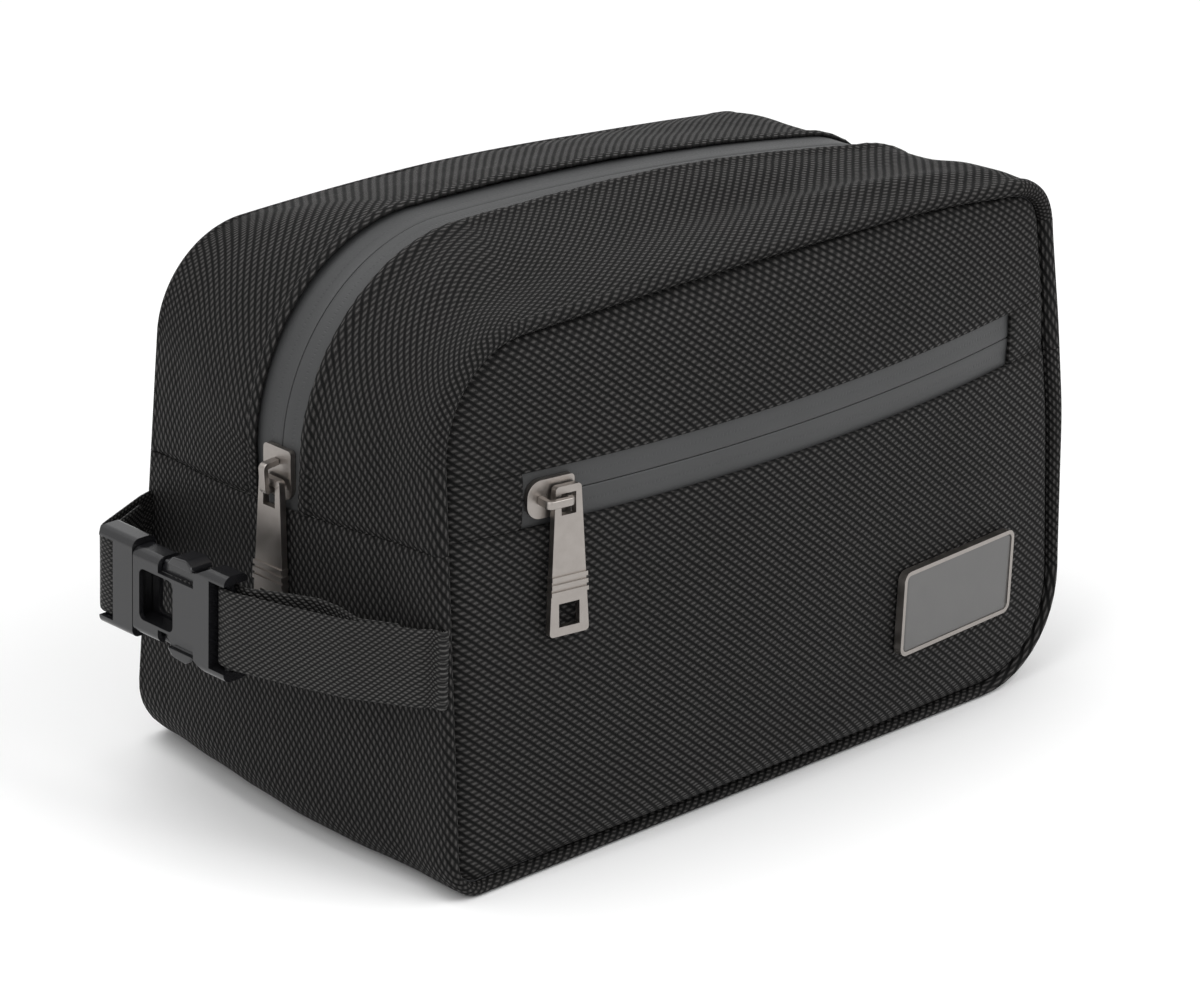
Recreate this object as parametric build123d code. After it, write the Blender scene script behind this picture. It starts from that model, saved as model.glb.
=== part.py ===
from build123d import *
from math import acos, asin, atan2, cos, degrees, radians, sin, sqrt
import os

# Zipped toiletry bag with a side webbing handle, in millimetres.
# X runs along the length, the front face looks to -Y, Z is up.
# The origin is the centre of the flat base.

# Body of the bag
HALF_LENGTH = 127.25
DEPTH_BASE = 141.0
DEPTH_TOP = 117.0
HEIGHT = 162.5
GUSSET_T = 2.0
PANEL_T = 1.8
FOAM_T = 3.0
LINING_T = 0.6
LAYER_GAP = 0.1
# The filled base would bulge this far, and is flat where it stands.
BASE_SINK = 0.3
# Reach of the blocks that cut or keep a part of the bag
BIG = 400.0

# Corner radii of the front and back outlines as the filled bag holds them
FRONT_R_TOP_LEFT = 33.0
FRONT_R_TOP_RIGHT = 17.0
FRONT_R_LOW_LEFT = 11.0
FRONT_R_LOW_RIGHT = 34.0
FRONT_CROWN_R = 6000.0
BACK_HALF_LENGTH = HALF_LENGTH - 4.25
BACK_RIGHT_DROP = 9.0
BACK_R_TOP_LEFT = 30.0
BACK_R_TOP_RIGHT = 26.0
BACK_R_LOW = 20.0
BACK_CROWN_R = 1300.0

# Middle of the gusset, under the zip
RIDGE_R = 60.0
RIDGE_CORNER_X = RIDGE_R - HALF_LENGTH - 4.75
RIDGE_CORNER_Z = HEIGHT - 47.5
RIDGE_CROWN_R = 1060.0
RIDGE_RIGHT = HALF_LENGTH + 3.75
RIDGE_RIGHT_TOP_R = 44.0
RIDGE_RIGHT_TOP_Z = HEIGHT - 45.0
RIDGE_LEFT_LOW = -HALF_LENGTH - 3.25
RIDGE_LOW_R = 15.0

# Seam between the zip gusset and the base gusset
WAIST_Z = HEIGHT - 63.0
WAIST_SLOPE = 0.07
SEAM_GAP = 0.1

# Filled front and back panels: crown height at each level
PANEL_CHORD = HALF_LENGTH + 1.75
FRONT_CROWN = 15.0
FRONT_CROWN_LOW = 9.5
FRONT_CROWN_MID = 13.5
FRONT_CROWN_UP = 11.5
FRONT_CROWN_TOP = 6.5
EDGE_CROWN = 0.6
BADGE_FACET_LOW = 16.0
BADGE_FACET_HIGH = 56.0
BAND_MARGIN = 10.5
UPPER_BEND_Z = HEIGHT - 22.5
TOP_BEND_Z = HEIGHT - 9.5
BACK_CROWN = 7.0

# Pocket zip, which lies in an upright cylinder of the front panel
POCKET_ZIP_Z = HEIGHT - 48.0
POCKET_WINDOW_H = 16.8
POCKET_WINDOW_LEFT = -HALF_LENGTH + 25.25
POCKET_WINDOW_RIGHT = HALF_LENGTH - 27.25
POCKET_TAPE_UNDER = 2.6
POCKET_SLIDER_X = POCKET_WINDOW_LEFT + 9.0
PULL_REST = 1.0
TAB_OVERLAP = 5.0

# Both zips
TAPE_T = 1.2
TAPE_RECESS = 1.8
SLIT = 1.6
COIL_W = 2.7
COIL_T = 2.6
MAIN_TAPE_HALF = 9.6
MAIN_TAPE_END = 14.0
STOP_LENGTH = 3.0
STOP_T = 1.2
POCKET_STOP = 2.0

# Slider casting and pull, the same on both zips
RUN_GAP = 0.3
SLIDER_LENGTH = 15.5
SLIDER_W = 11.6
NOSE_R = 4.6
TAIL_R = 1.4
PLATE_T = 1.8
UNDER_PLATE_T = 1.4
FLANGE_W = 1.6
POST_T = 1.0
POST_LENGTH = 4.0
BRIDGE_LENGTH = 9.4
BRIDGE_W = 2.4
BRIDGE_T = 1.7
PULL_T = 2.2
PULL_PLAY = 1.0
PULL_LENGTH = 44.4
PULL_TOP_W = 8.6
PULL_LOW_W = 13.4
EYE_W = 5.0
PLAY_AT_LEG = 0.2
EYE_LENGTH = 6.4
PULL_WINDOW = 7.0
PULL_FRAME = 2.6
PULL_CORNER_R = 1.2
RIBS = 3
RIB_T = 0.6
RIB_W = 1.3
RIB_PITCH = 2.2
MAIN_SLIDER_BELOW = 4.8

# Badge, left blank
BADGE_W = 55.0
BADGE_H = 27.0
BADGE_T = 2.6
BADGE_RIM = 1.3
BADGE_R = 3.0
BADGE_X = HALF_LENGTH - 57.75
BADGE_Z = 43.5
BADGE_TURN = -1.6
BADGE_INLAY_T = 1.0
BADGE_SEAT = 0.45
PRONG_D = 1.6
PRONG_INSET = 6.0
BACKING_T = 0.8
BACKING_MARGIN = 2.0

# Webbing
WEB_W = 24.0
WEB_T = 1.4
WEB_Z = WAIST_Z - 28.5
ROOT_GAP = 0.6

# Side release buckle
BUCKLE_X = -HALF_LENGTH - 26.75
BUCKLE_T = 9.0
BUCKLE_EDGE_R = 2.6
WINDOW_R = 2.0
BUCKLE_HALF = 13.2
WING_HALF = 16.2
MOUTH_Y = 32.0
FEMALE_END_Y = -7.6
MALE_END_Y = 47.0
BAR_R = 1.6
FEMALE_BAR_Y = -5.0
MALE_BAR_Y = 44.4
BAR_SLOT = 3.6
BAR_PLAY = 0.2
POST_W = 2.8
CAVITY_HALF = 11.2
CAVITY_T = 6.0
WINDOW_NEAR_Y = 14.5
WINDOW_FAR_Y = 29.2
WINDOW_HALF = 7.9
SIDE_NEAR_Y = 5.6
SIDE_FAR_Y = 21.0
CAVITY_LEAD = 0.8
SHOULDER_BACK = 1.0
PLUG_STEP = 1.0
SPINE_HALF = 8.8
ARM_FIT = 0.4
ARM_W = 2.4
HEAD_SHOULDER = 12.6
HEAD_CROWN = 15.9
CROWN_START = 12.9
HEAD_PLAY_TIP = 0.9
HEAD_PLAY_HEEL = 0.4
NECK = 3.0

# Inside trim
BINDING_W = 9.0
BINDING_T = 1.2
TRIM_GAP = 0.15


def save(shape, name):
    export_step(shape, f"parts/{name}.step")


def box(x0, x1, y0, y1, z0, z1):
    """Solid block between two corners."""
    block = Box(x1 - x0, y1 - y0, z1 - z0)
    return Pos((x0 + x1) / 2, (y0 + y1) / 2, (z0 + z1) / 2) * block


# Seam planes. The bag is deeper at its base, so both lean inwards.
LEAN = (DEPTH_BASE - DEPTH_TOP) / 2 / HEIGHT
LEAN_ANGLE = atan2(DEPTH_BASE - DEPTH_TOP, 2 * HEIGHT)
FRONT_PLANE = Plane(
    origin=(0, -DEPTH_BASE / 2, 0),
    x_dir=(1, 0, 0),
    z_dir=(0, -cos(LEAN_ANGLE), sin(LEAN_ANGLE)),
)
BACK_PLANE = Plane(
    origin=(0, DEPTH_BASE / 2, 0),
    x_dir=(1, 0, 0),
    z_dir=(0, -cos(LEAN_ANGLE), -sin(LEAN_ANGLE)),
)
RIDGE_PLANE = Plane(origin=(0, 0, 0), x_dir=(1, 0, 0), z_dir=(0, -1, 0))


def seam_y(z):
    """Distance of the front seam plane from the middle at a height."""
    return DEPTH_BASE / 2 - LEAN * z


def front_circles():
    h = HALF_LENGTH
    return (
        (-h + FRONT_R_LOW_LEFT, FRONT_R_LOW_LEFT - BASE_SINK, FRONT_R_LOW_LEFT),
        (h - FRONT_R_LOW_RIGHT, FRONT_R_LOW_RIGHT - BASE_SINK, FRONT_R_LOW_RIGHT),
        (h - FRONT_R_TOP_RIGHT, HEIGHT - FRONT_R_TOP_RIGHT, FRONT_R_TOP_RIGHT),
        (-h + FRONT_R_TOP_LEFT, HEIGHT - FRONT_R_TOP_LEFT, FRONT_R_TOP_LEFT),
    )


def back_circles():
    h = BACK_HALF_LENGTH
    right_top = HEIGHT - BACK_RIGHT_DROP
    return (
        (-h + BACK_R_LOW, BACK_R_LOW - BASE_SINK, BACK_R_LOW),
        (h - BACK_R_LOW, BACK_R_LOW - BASE_SINK, BACK_R_LOW),
        (h - BACK_R_TOP_RIGHT, right_top - BACK_R_TOP_RIGHT, BACK_R_TOP_RIGHT),
        (-h + BACK_R_TOP_LEFT, HEIGHT - BACK_R_TOP_LEFT, BACK_R_TOP_LEFT),
    )


def ridge_circles():
    return (
        (RIDGE_LEFT_LOW + RIDGE_LOW_R, RIDGE_LOW_R - BASE_SINK, RIDGE_LOW_R),
        (RIDGE_RIGHT - RIDGE_LOW_R, RIDGE_LOW_R - BASE_SINK, RIDGE_LOW_R),
        (RIDGE_RIGHT - RIDGE_RIGHT_TOP_R, RIDGE_RIGHT_TOP_Z, RIDGE_RIGHT_TOP_R),
        (RIDGE_CORNER_X, RIDGE_CORNER_Z, RIDGE_R),
    )


def tangent_normal(first, second):
    """Outward unit normal of the straight run that touches two corner circles."""
    dx = second[0] - first[0]
    dz = second[1] - first[1]
    length = sqrt(dx * dx + dz * dz)
    angle = atan2(dz, dx) - acos((first[2] - second[2]) / length)
    return cos(angle), sin(angle)


def on_circle(circle, normal, inset):
    reach = circle[2] - inset
    return circle[0] + reach * normal[0], circle[1] + reach * normal[1]


def crown_centre(circles, crown_r):
    """Centre of the long top arc that touches both upper corner circles."""
    right, left = circles[2], circles[3]
    reach_r = crown_r - right[2]
    reach_l = crown_r - left[2]
    dx = left[0] - right[0]
    dz = left[1] - right[1]
    span = sqrt(dx * dx + dz * dz)
    along = (reach_r**2 - reach_l**2 + span**2) / (2 * span)
    across = sqrt(reach_r**2 - along**2)
    ux, uz = dx / span, dz / span
    return right[0] + along * ux - across * uz, right[1] + along * uz + across * ux


def unit(start, end):
    dx = end[0] - start[0]
    dz = end[1] - start[1]
    length = sqrt(dx * dx + dz * dz)
    return dx / length, dz / length


def outline_joints(circles, crown_r, inset):
    """The eight points where straight runs and arcs of an outline meet."""
    low_left, low_right, top_right, top_left = circles
    centre = crown_centre(circles, crown_r)
    base = tangent_normal(low_left, low_right)
    right = tangent_normal(low_right, top_right)
    left = tangent_normal(top_left, low_left)
    to_right = unit(centre, top_right)
    to_left = unit(centre, top_left)
    normals = (
        (low_left, base),
        (low_right, base),
        (low_right, right),
        (top_right, right),
        (top_right, to_right),
        (top_left, to_left),
        (top_left, left),
        (low_left, left),
    )
    return [on_circle(c, n, inset) for c, n in normals], centre


def arc_between(start, end, centre, radius):
    """Arc on the outer side, from start to end about a centre."""
    mid = ((start[0] + end[0]) / 2, (start[1] + end[1]) / 2)
    way = unit(centre, mid)
    top = (centre[0] + radius * way[0], centre[1] + radius * way[1])
    return ThreePointArc(start, top, end)


def outline(circles, crown_r, inset=0.0):
    """Closed face of a panel outline, drawn inset from the seam."""
    p, centre = outline_joints(circles, crown_r, inset)
    low_left, low_right, top_right, top_left = circles
    edges = [
        Line(p[0], p[1]),
        arc_between(p[1], p[2], low_right, low_right[2] - inset),
        Line(p[2], p[3]),
        arc_between(p[3], p[4], top_right, top_right[2] - inset),
        arc_between(p[4], p[5], centre, crown_r - inset),
        arc_between(p[5], p[6], top_left, top_left[2] - inset),
        Line(p[6], p[7]),
        arc_between(p[7], p[0], low_left, low_left[2] - inset),
    ]
    return make_face(edges)


def body_loft(inset):
    """Closed body of the bag between its seam planes, drawn inset."""
    front = FRONT_PLANE * outline(front_circles(), FRONT_CROWN_R, inset)
    ridge = RIDGE_PLANE * outline(ridge_circles(), RIDGE_CROWN_R, inset)
    back = BACK_PLANE * outline(back_circles(), BACK_CROWN_R, inset)
    return loft([front, ridge, back])


def wall(outer, inner):
    """Wrap-around layer between two insets."""
    return body_loft(outer) - body_loft(inner)


def half_space(z_sign):
    """Block above or below the slanted waist seam."""
    plane = Plane(origin=(0, 0, WAIST_Z), x_dir=(1, 0, 0), z_dir=(0, WAIST_SLOPE, 1))
    block = Pos(0, 0, z_sign * (BIG / 2 + SEAM_GAP / 2)) * Box(BIG, BIG, BIG)
    return plane * block


def zip_slot(half):
    """Space over the waist that stays free for the main zip."""
    return box(-BIG / 2, BIG / 2, -half, half, WAIST_Z - 2 * STOP_LENGTH, BIG)


def gusset_parts():
    shell = wall(0, GUSSET_T)
    upper = shell & half_space(1)
    slot = MAIN_TAPE_HALF + LAYER_GAP
    front = upper & box(-BIG / 2, BIG / 2, -BIG / 2, -slot, 0, BIG)
    rear = upper & box(-BIG / 2, BIG / 2, slot, BIG / 2, 0, BIG)
    above_floor = box(-BIG / 2, BIG / 2, -BIG / 2, BIG / 2, 0, BIG)
    base = shell & half_space(-1) & above_floor
    save(front, "gusset_front_strip")
    save(rear, "gusset_rear_strip")
    save(base, "base_gusset")
    foam_in = GUSSET_T + LAYER_GAP
    foam_out = foam_in + FOAM_T
    lining_in = foam_out + LAYER_GAP
    lining_out = lining_in + LINING_T
    plies = (ply_depth("front"), ply_depth("back"))
    keep = between_plies(*plies)
    slot_cut = zip_slot(MAIN_TAPE_HALF + 1)
    foam = (wall(foam_in, foam_out) & keep) - slot_cut
    lining = (wall(lining_in, lining_out) & keep) - slot_cut
    save(foam, "gusset_foam")
    save(lining, "gusset_lining")


def ply_depth(side):
    """Depth of the flat layers behind a panel, measured from its seam plane."""
    backing = LINING_T + LAYER_GAP if side == "front" else 0.0
    return backing + FOAM_T + 2 * LAYER_GAP + LINING_T


def between_plies(front_depth, back_depth):
    """Space between the flat layers of the front and of the back."""
    front = FRONT_PLANE * Pos(0, 0, -front_depth - BIG / 2) * Box(BIG, 2 * BIG, BIG)
    back = BACK_PLANE * Pos(0, 0, back_depth + BIG / 2) * Box(BIG, 2 * BIG, BIG)
    return front & back


def ply(side, start, thickness, inset):
    """Flat layer parallel to a seam plane, start deep behind it."""
    circles = front_circles() if side == "front" else back_circles()
    crown = FRONT_CROWN_R if side == "front" else BACK_CROWN_R
    plane = FRONT_PLANE if side == "front" else BACK_PLANE
    face = outline(circles, crown, inset)
    slab = extrude(face, amount=thickness)
    low = start if side == "back" else -start - thickness
    return (plane * Pos(0, 0, low) * slab) & body_loft(inset)


def flat_layers():
    inset = GUSSET_T + LAYER_GAP
    depth = 0.0
    backing = ply("front", depth, LINING_T, inset)
    save(backing, "pocket_backing")
    depth += LINING_T + LAYER_GAP
    foam = ply("front", depth, FOAM_T, inset)
    save(foam, "front_foam")
    depth += FOAM_T + LAYER_GAP
    lining = ply("front", depth, LINING_T, inset)
    save(lining, "front_lining")
    foam = ply("back", 0.0, FOAM_T, inset)
    save(foam, "back_foam")
    lining = ply("back", FOAM_T + LAYER_GAP, LINING_T, inset)
    save(lining, "back_lining")


def bindings():
    """Tape that wraps the raw seam edges inside the bag, front and back."""
    outer = GUSSET_T + FOAM_T + LINING_T + 3 * LAYER_GAP + TRIM_GAP
    ring = wall(outer, outer + BINDING_T)
    slab = Box(BIG, 2 * BIG, BINDING_W)
    near = ply_depth("front") + TRIM_GAP + BINDING_W / 2
    save(ring & (FRONT_PLANE * Pos(0, 0, -near) * slab), "front_binding")
    near = ply_depth("back") + TRIM_GAP + BINDING_W / 2
    save(ring & (BACK_PLANE * Pos(0, 0, near) * slab), "back_binding")


def crown_radius(rise):
    return (PANEL_CHORD**2 + rise**2) / (2 * rise)


def crown_at(rise, x):
    """How far a panel crown stands out at a place along the length."""
    radius = crown_radius(rise)
    return sqrt(radius**2 - x**2) - (radius - rise)


def panel_section(z, seam, rise, thickness):
    """One level slice of a crowned panel on the front side."""
    near = -seam
    c = PANEL_CHORD
    edges = [
        ThreePointArc((-c, near), (0, near - rise), (c, near)),
        Line((c, near), (c, near - thickness)),
        ThreePointArc((c, near - thickness), (0, near - rise - thickness), (-c, near - thickness)),
        Line((-c, near - thickness), (-c, near)),
    ]
    return Pos(0, 0, z) * make_face(edges)


BAND_LOW = POCKET_ZIP_Z - BAND_MARGIN
BAND_HIGH = POCKET_ZIP_Z + BAND_MARGIN
BAND_SEAM = seam_y(POCKET_ZIP_Z)


def front_levels():
    return (
        (0.0, seam_y(0.0), EDGE_CROWN),
        (BADGE_FACET_LOW, seam_y(BADGE_FACET_LOW), FRONT_CROWN_LOW),
        (BADGE_FACET_HIGH, seam_y(BADGE_FACET_HIGH), FRONT_CROWN_MID),
        (BAND_LOW, BAND_SEAM, FRONT_CROWN),
        (BAND_HIGH, BAND_SEAM, FRONT_CROWN),
        (UPPER_BEND_Z, seam_y(UPPER_BEND_Z), FRONT_CROWN_UP),
        (TOP_BEND_Z, seam_y(TOP_BEND_Z), FRONT_CROWN_TOP),
        (HEIGHT, seam_y(HEIGHT), EDGE_CROWN),
    )


def back_levels():
    share = BACK_CROWN / FRONT_CROWN
    top = HEIGHT
    return (
        (0.0, seam_y(0.0), EDGE_CROWN),
        (BADGE_FACET_LOW, seam_y(BADGE_FACET_LOW), FRONT_CROWN_LOW * share),
        (BADGE_FACET_HIGH, seam_y(BADGE_FACET_HIGH), BACK_CROWN),
        (BAND_LOW, seam_y(BAND_LOW), BACK_CROWN),
        (UPPER_BEND_Z, seam_y(UPPER_BEND_Z), FRONT_CROWN_UP * share),
        (top, seam_y(top), EDGE_CROWN),
    )


def panel_sheet(levels):
    sections = [panel_section(z, seam, rise, PANEL_T) for z, seam, rise in levels]
    return loft(sections, ruled=True)


def panel_prism(side):
    """Everything outside a seam plane within its outline."""
    if side == "front":
        prism = extrude(outline(front_circles(), FRONT_CROWN_R), amount=2 * FRONT_CROWN)
        return FRONT_PLANE * prism
    prism = extrude(outline(back_circles(), BACK_CROWN_R), amount=-2 * FRONT_CROWN)
    return BACK_PLANE * prism


def panels():
    sheet = panel_sheet(front_levels()) & panel_prism("front")
    low = POCKET_ZIP_Z - POCKET_WINDOW_H / 2
    high = POCKET_ZIP_Z + POCKET_WINDOW_H / 2
    lower = sheet & box(-BIG / 2, BIG / 2, -BIG / 2, BIG / 2, -1, low)
    upper = sheet & box(-BIG / 2, BIG / 2, -BIG / 2, BIG / 2, high + SEAM_GAP, BIG)
    for name, x0, x1 in (
        ("pocket_zip_start_tab", -BIG / 2, POCKET_WINDOW_LEFT),
        ("pocket_zip_end_tab", POCKET_WINDOW_RIGHT, BIG / 2),
    ):
        save(sheet & box(x0, x1, -BIG / 2, BIG / 2, low + SEAM_GAP, high), name)
    for x, z in prong_places():
        lower = lower - badge_place() * Pos(x, z, 0) * Cylinder(PRONG_D / 2 + SEAM_GAP, 30)
    save(lower, "front_panel_lower")
    save(upper, "front_panel_upper")
    back = mirror(panel_sheet(back_levels()), about=Plane.XZ)
    save(back & panel_prism("back"), "back_panel")


# Pocket zip: everything is a ring sector about one upright axis.
POCKET_R = crown_radius(FRONT_CROWN)
POCKET_AXIS_Y = POCKET_R - FRONT_CROWN - BAND_SEAM
POCKET_TAPE_R = POCKET_R - LAYER_GAP


def pocket_angle(x):
    """Angle about the upright axis at a place along the length."""
    return degrees(asin(x / POCKET_R))


def pocket_sector(r0, r1, x0, x1, z0, z1):
    """Ring sector on the front panel between two radii."""
    a0 = radians(pocket_angle(x0))
    a1 = radians(pocket_angle(x1))
    am = (a0 + a1) / 2

    def at(r, a):
        return r * sin(a), POCKET_AXIS_Y - r * cos(a)

    edges = [
        ThreePointArc(at(r0, a0), at(r0, am), at(r0, a1)),
        Line(at(r0, a1), at(r1, a1)),
        ThreePointArc(at(r1, a1), at(r1, am), at(r1, a0)),
        Line(at(r1, a0), at(r0, a0)),
    ]
    return Pos(0, 0, z0) * extrude(make_face(edges), amount=z1 - z0)


def pocket_zip():
    reach = POCKET_WINDOW_H / 2 + POCKET_TAPE_UNDER
    left = POCKET_WINDOW_LEFT - TAB_OVERLAP
    right = POCKET_WINDOW_RIGHT + TAB_OVERLAP
    outer = POCKET_TAPE_R
    inner = outer - TAPE_T
    z = POCKET_ZIP_Z
    half_slit = SLIT / 2
    lower = pocket_sector(inner, outer, left, right, z - reach, z - half_slit)
    upper = pocket_sector(inner, outer, left, right, z + half_slit, z + reach)
    save(lower, "pocket_zip_tape_lower")
    save(upper, "pocket_zip_tape_upper")
    coil_in = inner - COIL_T
    coil_w = half_slit + COIL_W
    start, end = POCKET_WINDOW_LEFT, POCKET_WINDOW_RIGHT
    coils = [
        pocket_sector(coil_in, inner, start, end, z - coil_w, z - half_slit),
        pocket_sector(coil_in, inner, start, end, z + half_slit, z + coil_w),
    ]
    save(Compound(children=[c.solid() for c in coils]), "pocket_zip_coil")
    ends = (start - LAYER_GAP - POCKET_STOP, end + LAYER_GAP)
    stops = [
        pocket_sector(coil_in, inner, x, x + POCKET_STOP, z - coil_w, z + coil_w)
        for x in ends
    ]
    save(Compound(children=[s.solid() for s in stops]), "pocket_zip_stops")


# Main zip: its track is the ridge outline, set back by the recess.
MAIN_TAPE_R = RIDGE_R - TAPE_RECESS
TRACK_FOOT_Z = WAIST_Z + WAIST_SLOPE * MAIN_TAPE_HALF + 2 * SEAM_GAP


def track_band(outer, inner, end_angle=MAIN_TAPE_END):
    """Side view of a strip that follows the zip from one waist seam to the other."""
    circles = ridge_circles()
    corner = circles[3]
    way = (-cos(radians(end_angle)), -sin(radians(end_angle)))
    rails = []
    for inset in (outer, inner):
        p, centre = outline_joints(circles, RIDGE_CROWN_R, inset)
        foot = (p[3][0], TRACK_FOOT_Z)
        heel = on_circle(corner, way, inset)
        rails.append((foot, p[3], p[4], p[5], heel, centre, inset))
    edges = []
    for foot, a, b, c, heel, centre, inset in rails:
        edges.append(Line(foot, a))
        edges.append(arc_between(a, b, circles[2], circles[2][2] - inset))
        edges.append(arc_between(b, c, centre, RIDGE_CROWN_R - inset))
        edges.append(arc_between(c, heel, corner, corner[2] - inset))
    edges.append(Line(rails[0][0], rails[1][0]))
    edges.append(Line(rails[0][4], rails[1][4]))
    return make_face(edges)


def across(face, y0, y1):
    """Push a side-view face out between two places across the depth."""
    solid = extrude(RIDGE_PLANE * face, amount=y1 - y0)
    return Pos(0, y1, 0) * solid


def corner_sector(r0, r1, a0, a1, y0, y1):
    """Ring sector about the main zip's corner, angles in degrees up from level."""

    def at(r, a):
        return RIDGE_CORNER_X - r * cos(radians(a)), RIDGE_CORNER_Z + r * sin(radians(a))

    am = (a0 + a1) / 2
    edges = [
        ThreePointArc(at(r0, a0), at(r0, am), at(r0, a1)),
        Line(at(r0, a1), at(r1, a1)),
        ThreePointArc(at(r1, a1), at(r1, am), at(r1, a0)),
        Line(at(r1, a0), at(r0, a0)),
    ]
    return across(make_face(edges), y0, y1)


def main_zip():
    half_slit = SLIT / 2
    tape = track_band(TAPE_RECESS, TAPE_RECESS + TAPE_T)
    save(across(tape, -MAIN_TAPE_HALF, -half_slit), "main_zip_tape_front")
    save(across(tape, half_slit, MAIN_TAPE_HALF), "main_zip_tape_rear")
    coil_top = TAPE_RECESS + TAPE_T
    coil = track_band(coil_top, coil_top + COIL_T)
    coil_w = half_slit + COIL_W
    coils = [across(coil, -coil_w, -half_slit), across(coil, half_slit, coil_w)]
    save(Compound(children=[c.solid() for c in coils]), "main_zip_coil")
    stop_out = MAIN_TAPE_R - TAPE_T - COIL_T
    length = degrees(STOP_LENGTH / MAIN_TAPE_R)
    left = corner_sector(
        stop_out - STOP_T, stop_out, -MAIN_TAPE_END, -MAIN_TAPE_END + length / 2, -coil_w, coil_w
    )
    track_x = RIDGE_RIGHT - coil_top - COIL_T
    low = TRACK_FOOT_Z
    right = box(track_x - STOP_T, track_x, -coil_w, coil_w, low, low + STOP_LENGTH)
    save(Compound(children=[left.solid(), right]), "main_zip_stops")


def pull_plate():
    """Pull tab lying in the XY plane: eye bar on the X axis, tail towards -Y."""
    top = PULL_T / 2
    tail = top - PULL_LENGTH
    points = [
        (-PULL_TOP_W / 2, top),
        (PULL_TOP_W / 2, top),
        (PULL_LOW_W / 2, tail),
        (-PULL_LOW_W / 2, tail),
    ]
    plate = extrude(make_face(Polyline(*points, close=True)), amount=PULL_T)
    plate = Pos(0, 0, -PULL_T / 2) * plate
    plate = fillet(plate.edges().filter_by(Axis.Z), PULL_CORNER_R)
    eye_low = -PULL_T / 2 - EYE_LENGTH
    eye = box(-EYE_W / 2, EYE_W / 2, eye_low, -PULL_T / 2, -PULL_T, PULL_T)
    window_low = tail + PULL_FRAME
    window = box(
        -PULL_WINDOW / 2, PULL_WINDOW / 2, window_low, window_low + PULL_WINDOW, -PULL_T, PULL_T
    )
    plate = plate - eye - window
    rib_base = window_low + PULL_WINDOW + PULL_FRAME
    taper = (PULL_LOW_W - PULL_TOP_W) / PULL_LENGTH
    for k in range(RIBS):
        y = rib_base + k * RIB_PITCH
        half = PULL_LOW_W / 2 - taper / 2 * (y + RIB_W - tail) + RIB_T / 2
        rib = box(-half, half, y, y + RIB_W, -PULL_T / 2, PULL_T / 2 + RIB_T)
        plate = plate + rib
    return plate


def bridge_arch():
    """Arch over the slider: legs on the XY plane, bar along Y, rising in +Z."""
    inside = PULL_T + 2 * PULL_PLAY
    rise = inside + BRIDGE_T
    half = BRIDGE_LENGTH / 2
    arch = box(-BRIDGE_W / 2, BRIDGE_W / 2, -half, half, 0, rise)
    top_edges = arch.edges().filter_by(Axis.X).group_by(Axis.Z)[-1]
    arch = fillet(top_edges, BRIDGE_T)
    hole = box(-BRIDGE_W, BRIDGE_W, -half + BRIDGE_T, half - BRIDGE_T, -1, inside)
    return arch - hole


ARCH_INNER_HALF = BRIDGE_LENGTH / 2 - BRIDGE_T
EYE_PIVOT = PULL_T / 2 + sqrt(BRIDGE_T**2 + BRIDGE_W**2) / 2 + PLAY_AT_LEG


def round_plate(plate, travel):
    """Round nose at the low end of the travel, small corners at the tail."""
    radial = plate.edges().filter_by(GeomType.LINE)
    radial = radial.filter_by(lambda e: e.length < PLATE_T * 1.05)
    ends = radial.sort_by(travel)
    plate = fillet(ends[:2], NOSE_R)
    radial = plate.edges().filter_by(GeomType.LINE)
    radial = radial.filter_by(lambda e: abs(e.length - PLATE_T) < 0.05 * PLATE_T)
    return fillet(radial.sort_by(travel)[-2:], TAIL_R)


def main_slider():
    """Casting, cap and pull of the main zip, at the low left end."""
    mid = -MAIN_SLIDER_BELOW
    half = degrees(SLIDER_LENGTH / 2 / MAIN_TAPE_R)
    plate_in = MAIN_TAPE_R + RUN_GAP
    plate_out = plate_in + PLATE_T
    w = SLIDER_W / 2
    top = corner_sector(plate_in, plate_out, mid - half, mid + half, -w, w)
    top = round_plate(top, Axis.Z)
    under_out = MAIN_TAPE_R - TAPE_T - COIL_T - RUN_GAP
    under_in = under_out - UNDER_PLATE_T
    under = corner_sector(under_in, under_out, mid - half, mid + half, -w, w)
    flange_out = MAIN_TAPE_R - TAPE_T - RUN_GAP
    sides = [
        corner_sector(under_out, flange_out, mid - half, mid + half, y0, y0 + FLANGE_W)
        for y0 in (-w, w - FLANGE_W)
    ]
    post_half = degrees(POST_LENGTH / 2 / MAIN_TAPE_R)
    post_mid = mid + half - 1.5 * post_half
    post = corner_sector(
        under_out, plate_in, post_mid - post_half, post_mid + post_half, -POST_T / 2, POST_T / 2
    )
    casting = top + under + sides[0] + sides[1] + post
    save(casting, "main_slider_body")
    angle = radians(mid)
    seat = Plane(
        origin=(
            RIDGE_CORNER_X - plate_out * cos(angle),
            0,
            RIDGE_CORNER_Z + plate_out * sin(angle),
        ),
        x_dir=(0, 1, 0),
        z_dir=(-cos(angle), 0, sin(angle)),
    )
    save(seat * bridge_arch() - top, "main_slider_bridge")
    rod_r = plate_out + PULL_PLAY + PULL_T / 2
    rod_drop = ARCH_INNER_HALF - PULL_T / 2 - RUN_GAP
    rod_x = RIDGE_CORNER_X - rod_r * cos(angle) - rod_drop * sin(angle)
    rod_z = RIDGE_CORNER_Z + rod_r * sin(angle) - rod_drop * cos(angle)
    hang = Plane(origin=(rod_x, 0, rod_z), x_dir=(0, -1, 0), z_dir=(-1, 0, 0))
    save(hang * pull_plate(), "main_zip_pull")
    print("main pull axis", round(rod_x, 3), round(rod_z, 3))


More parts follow.
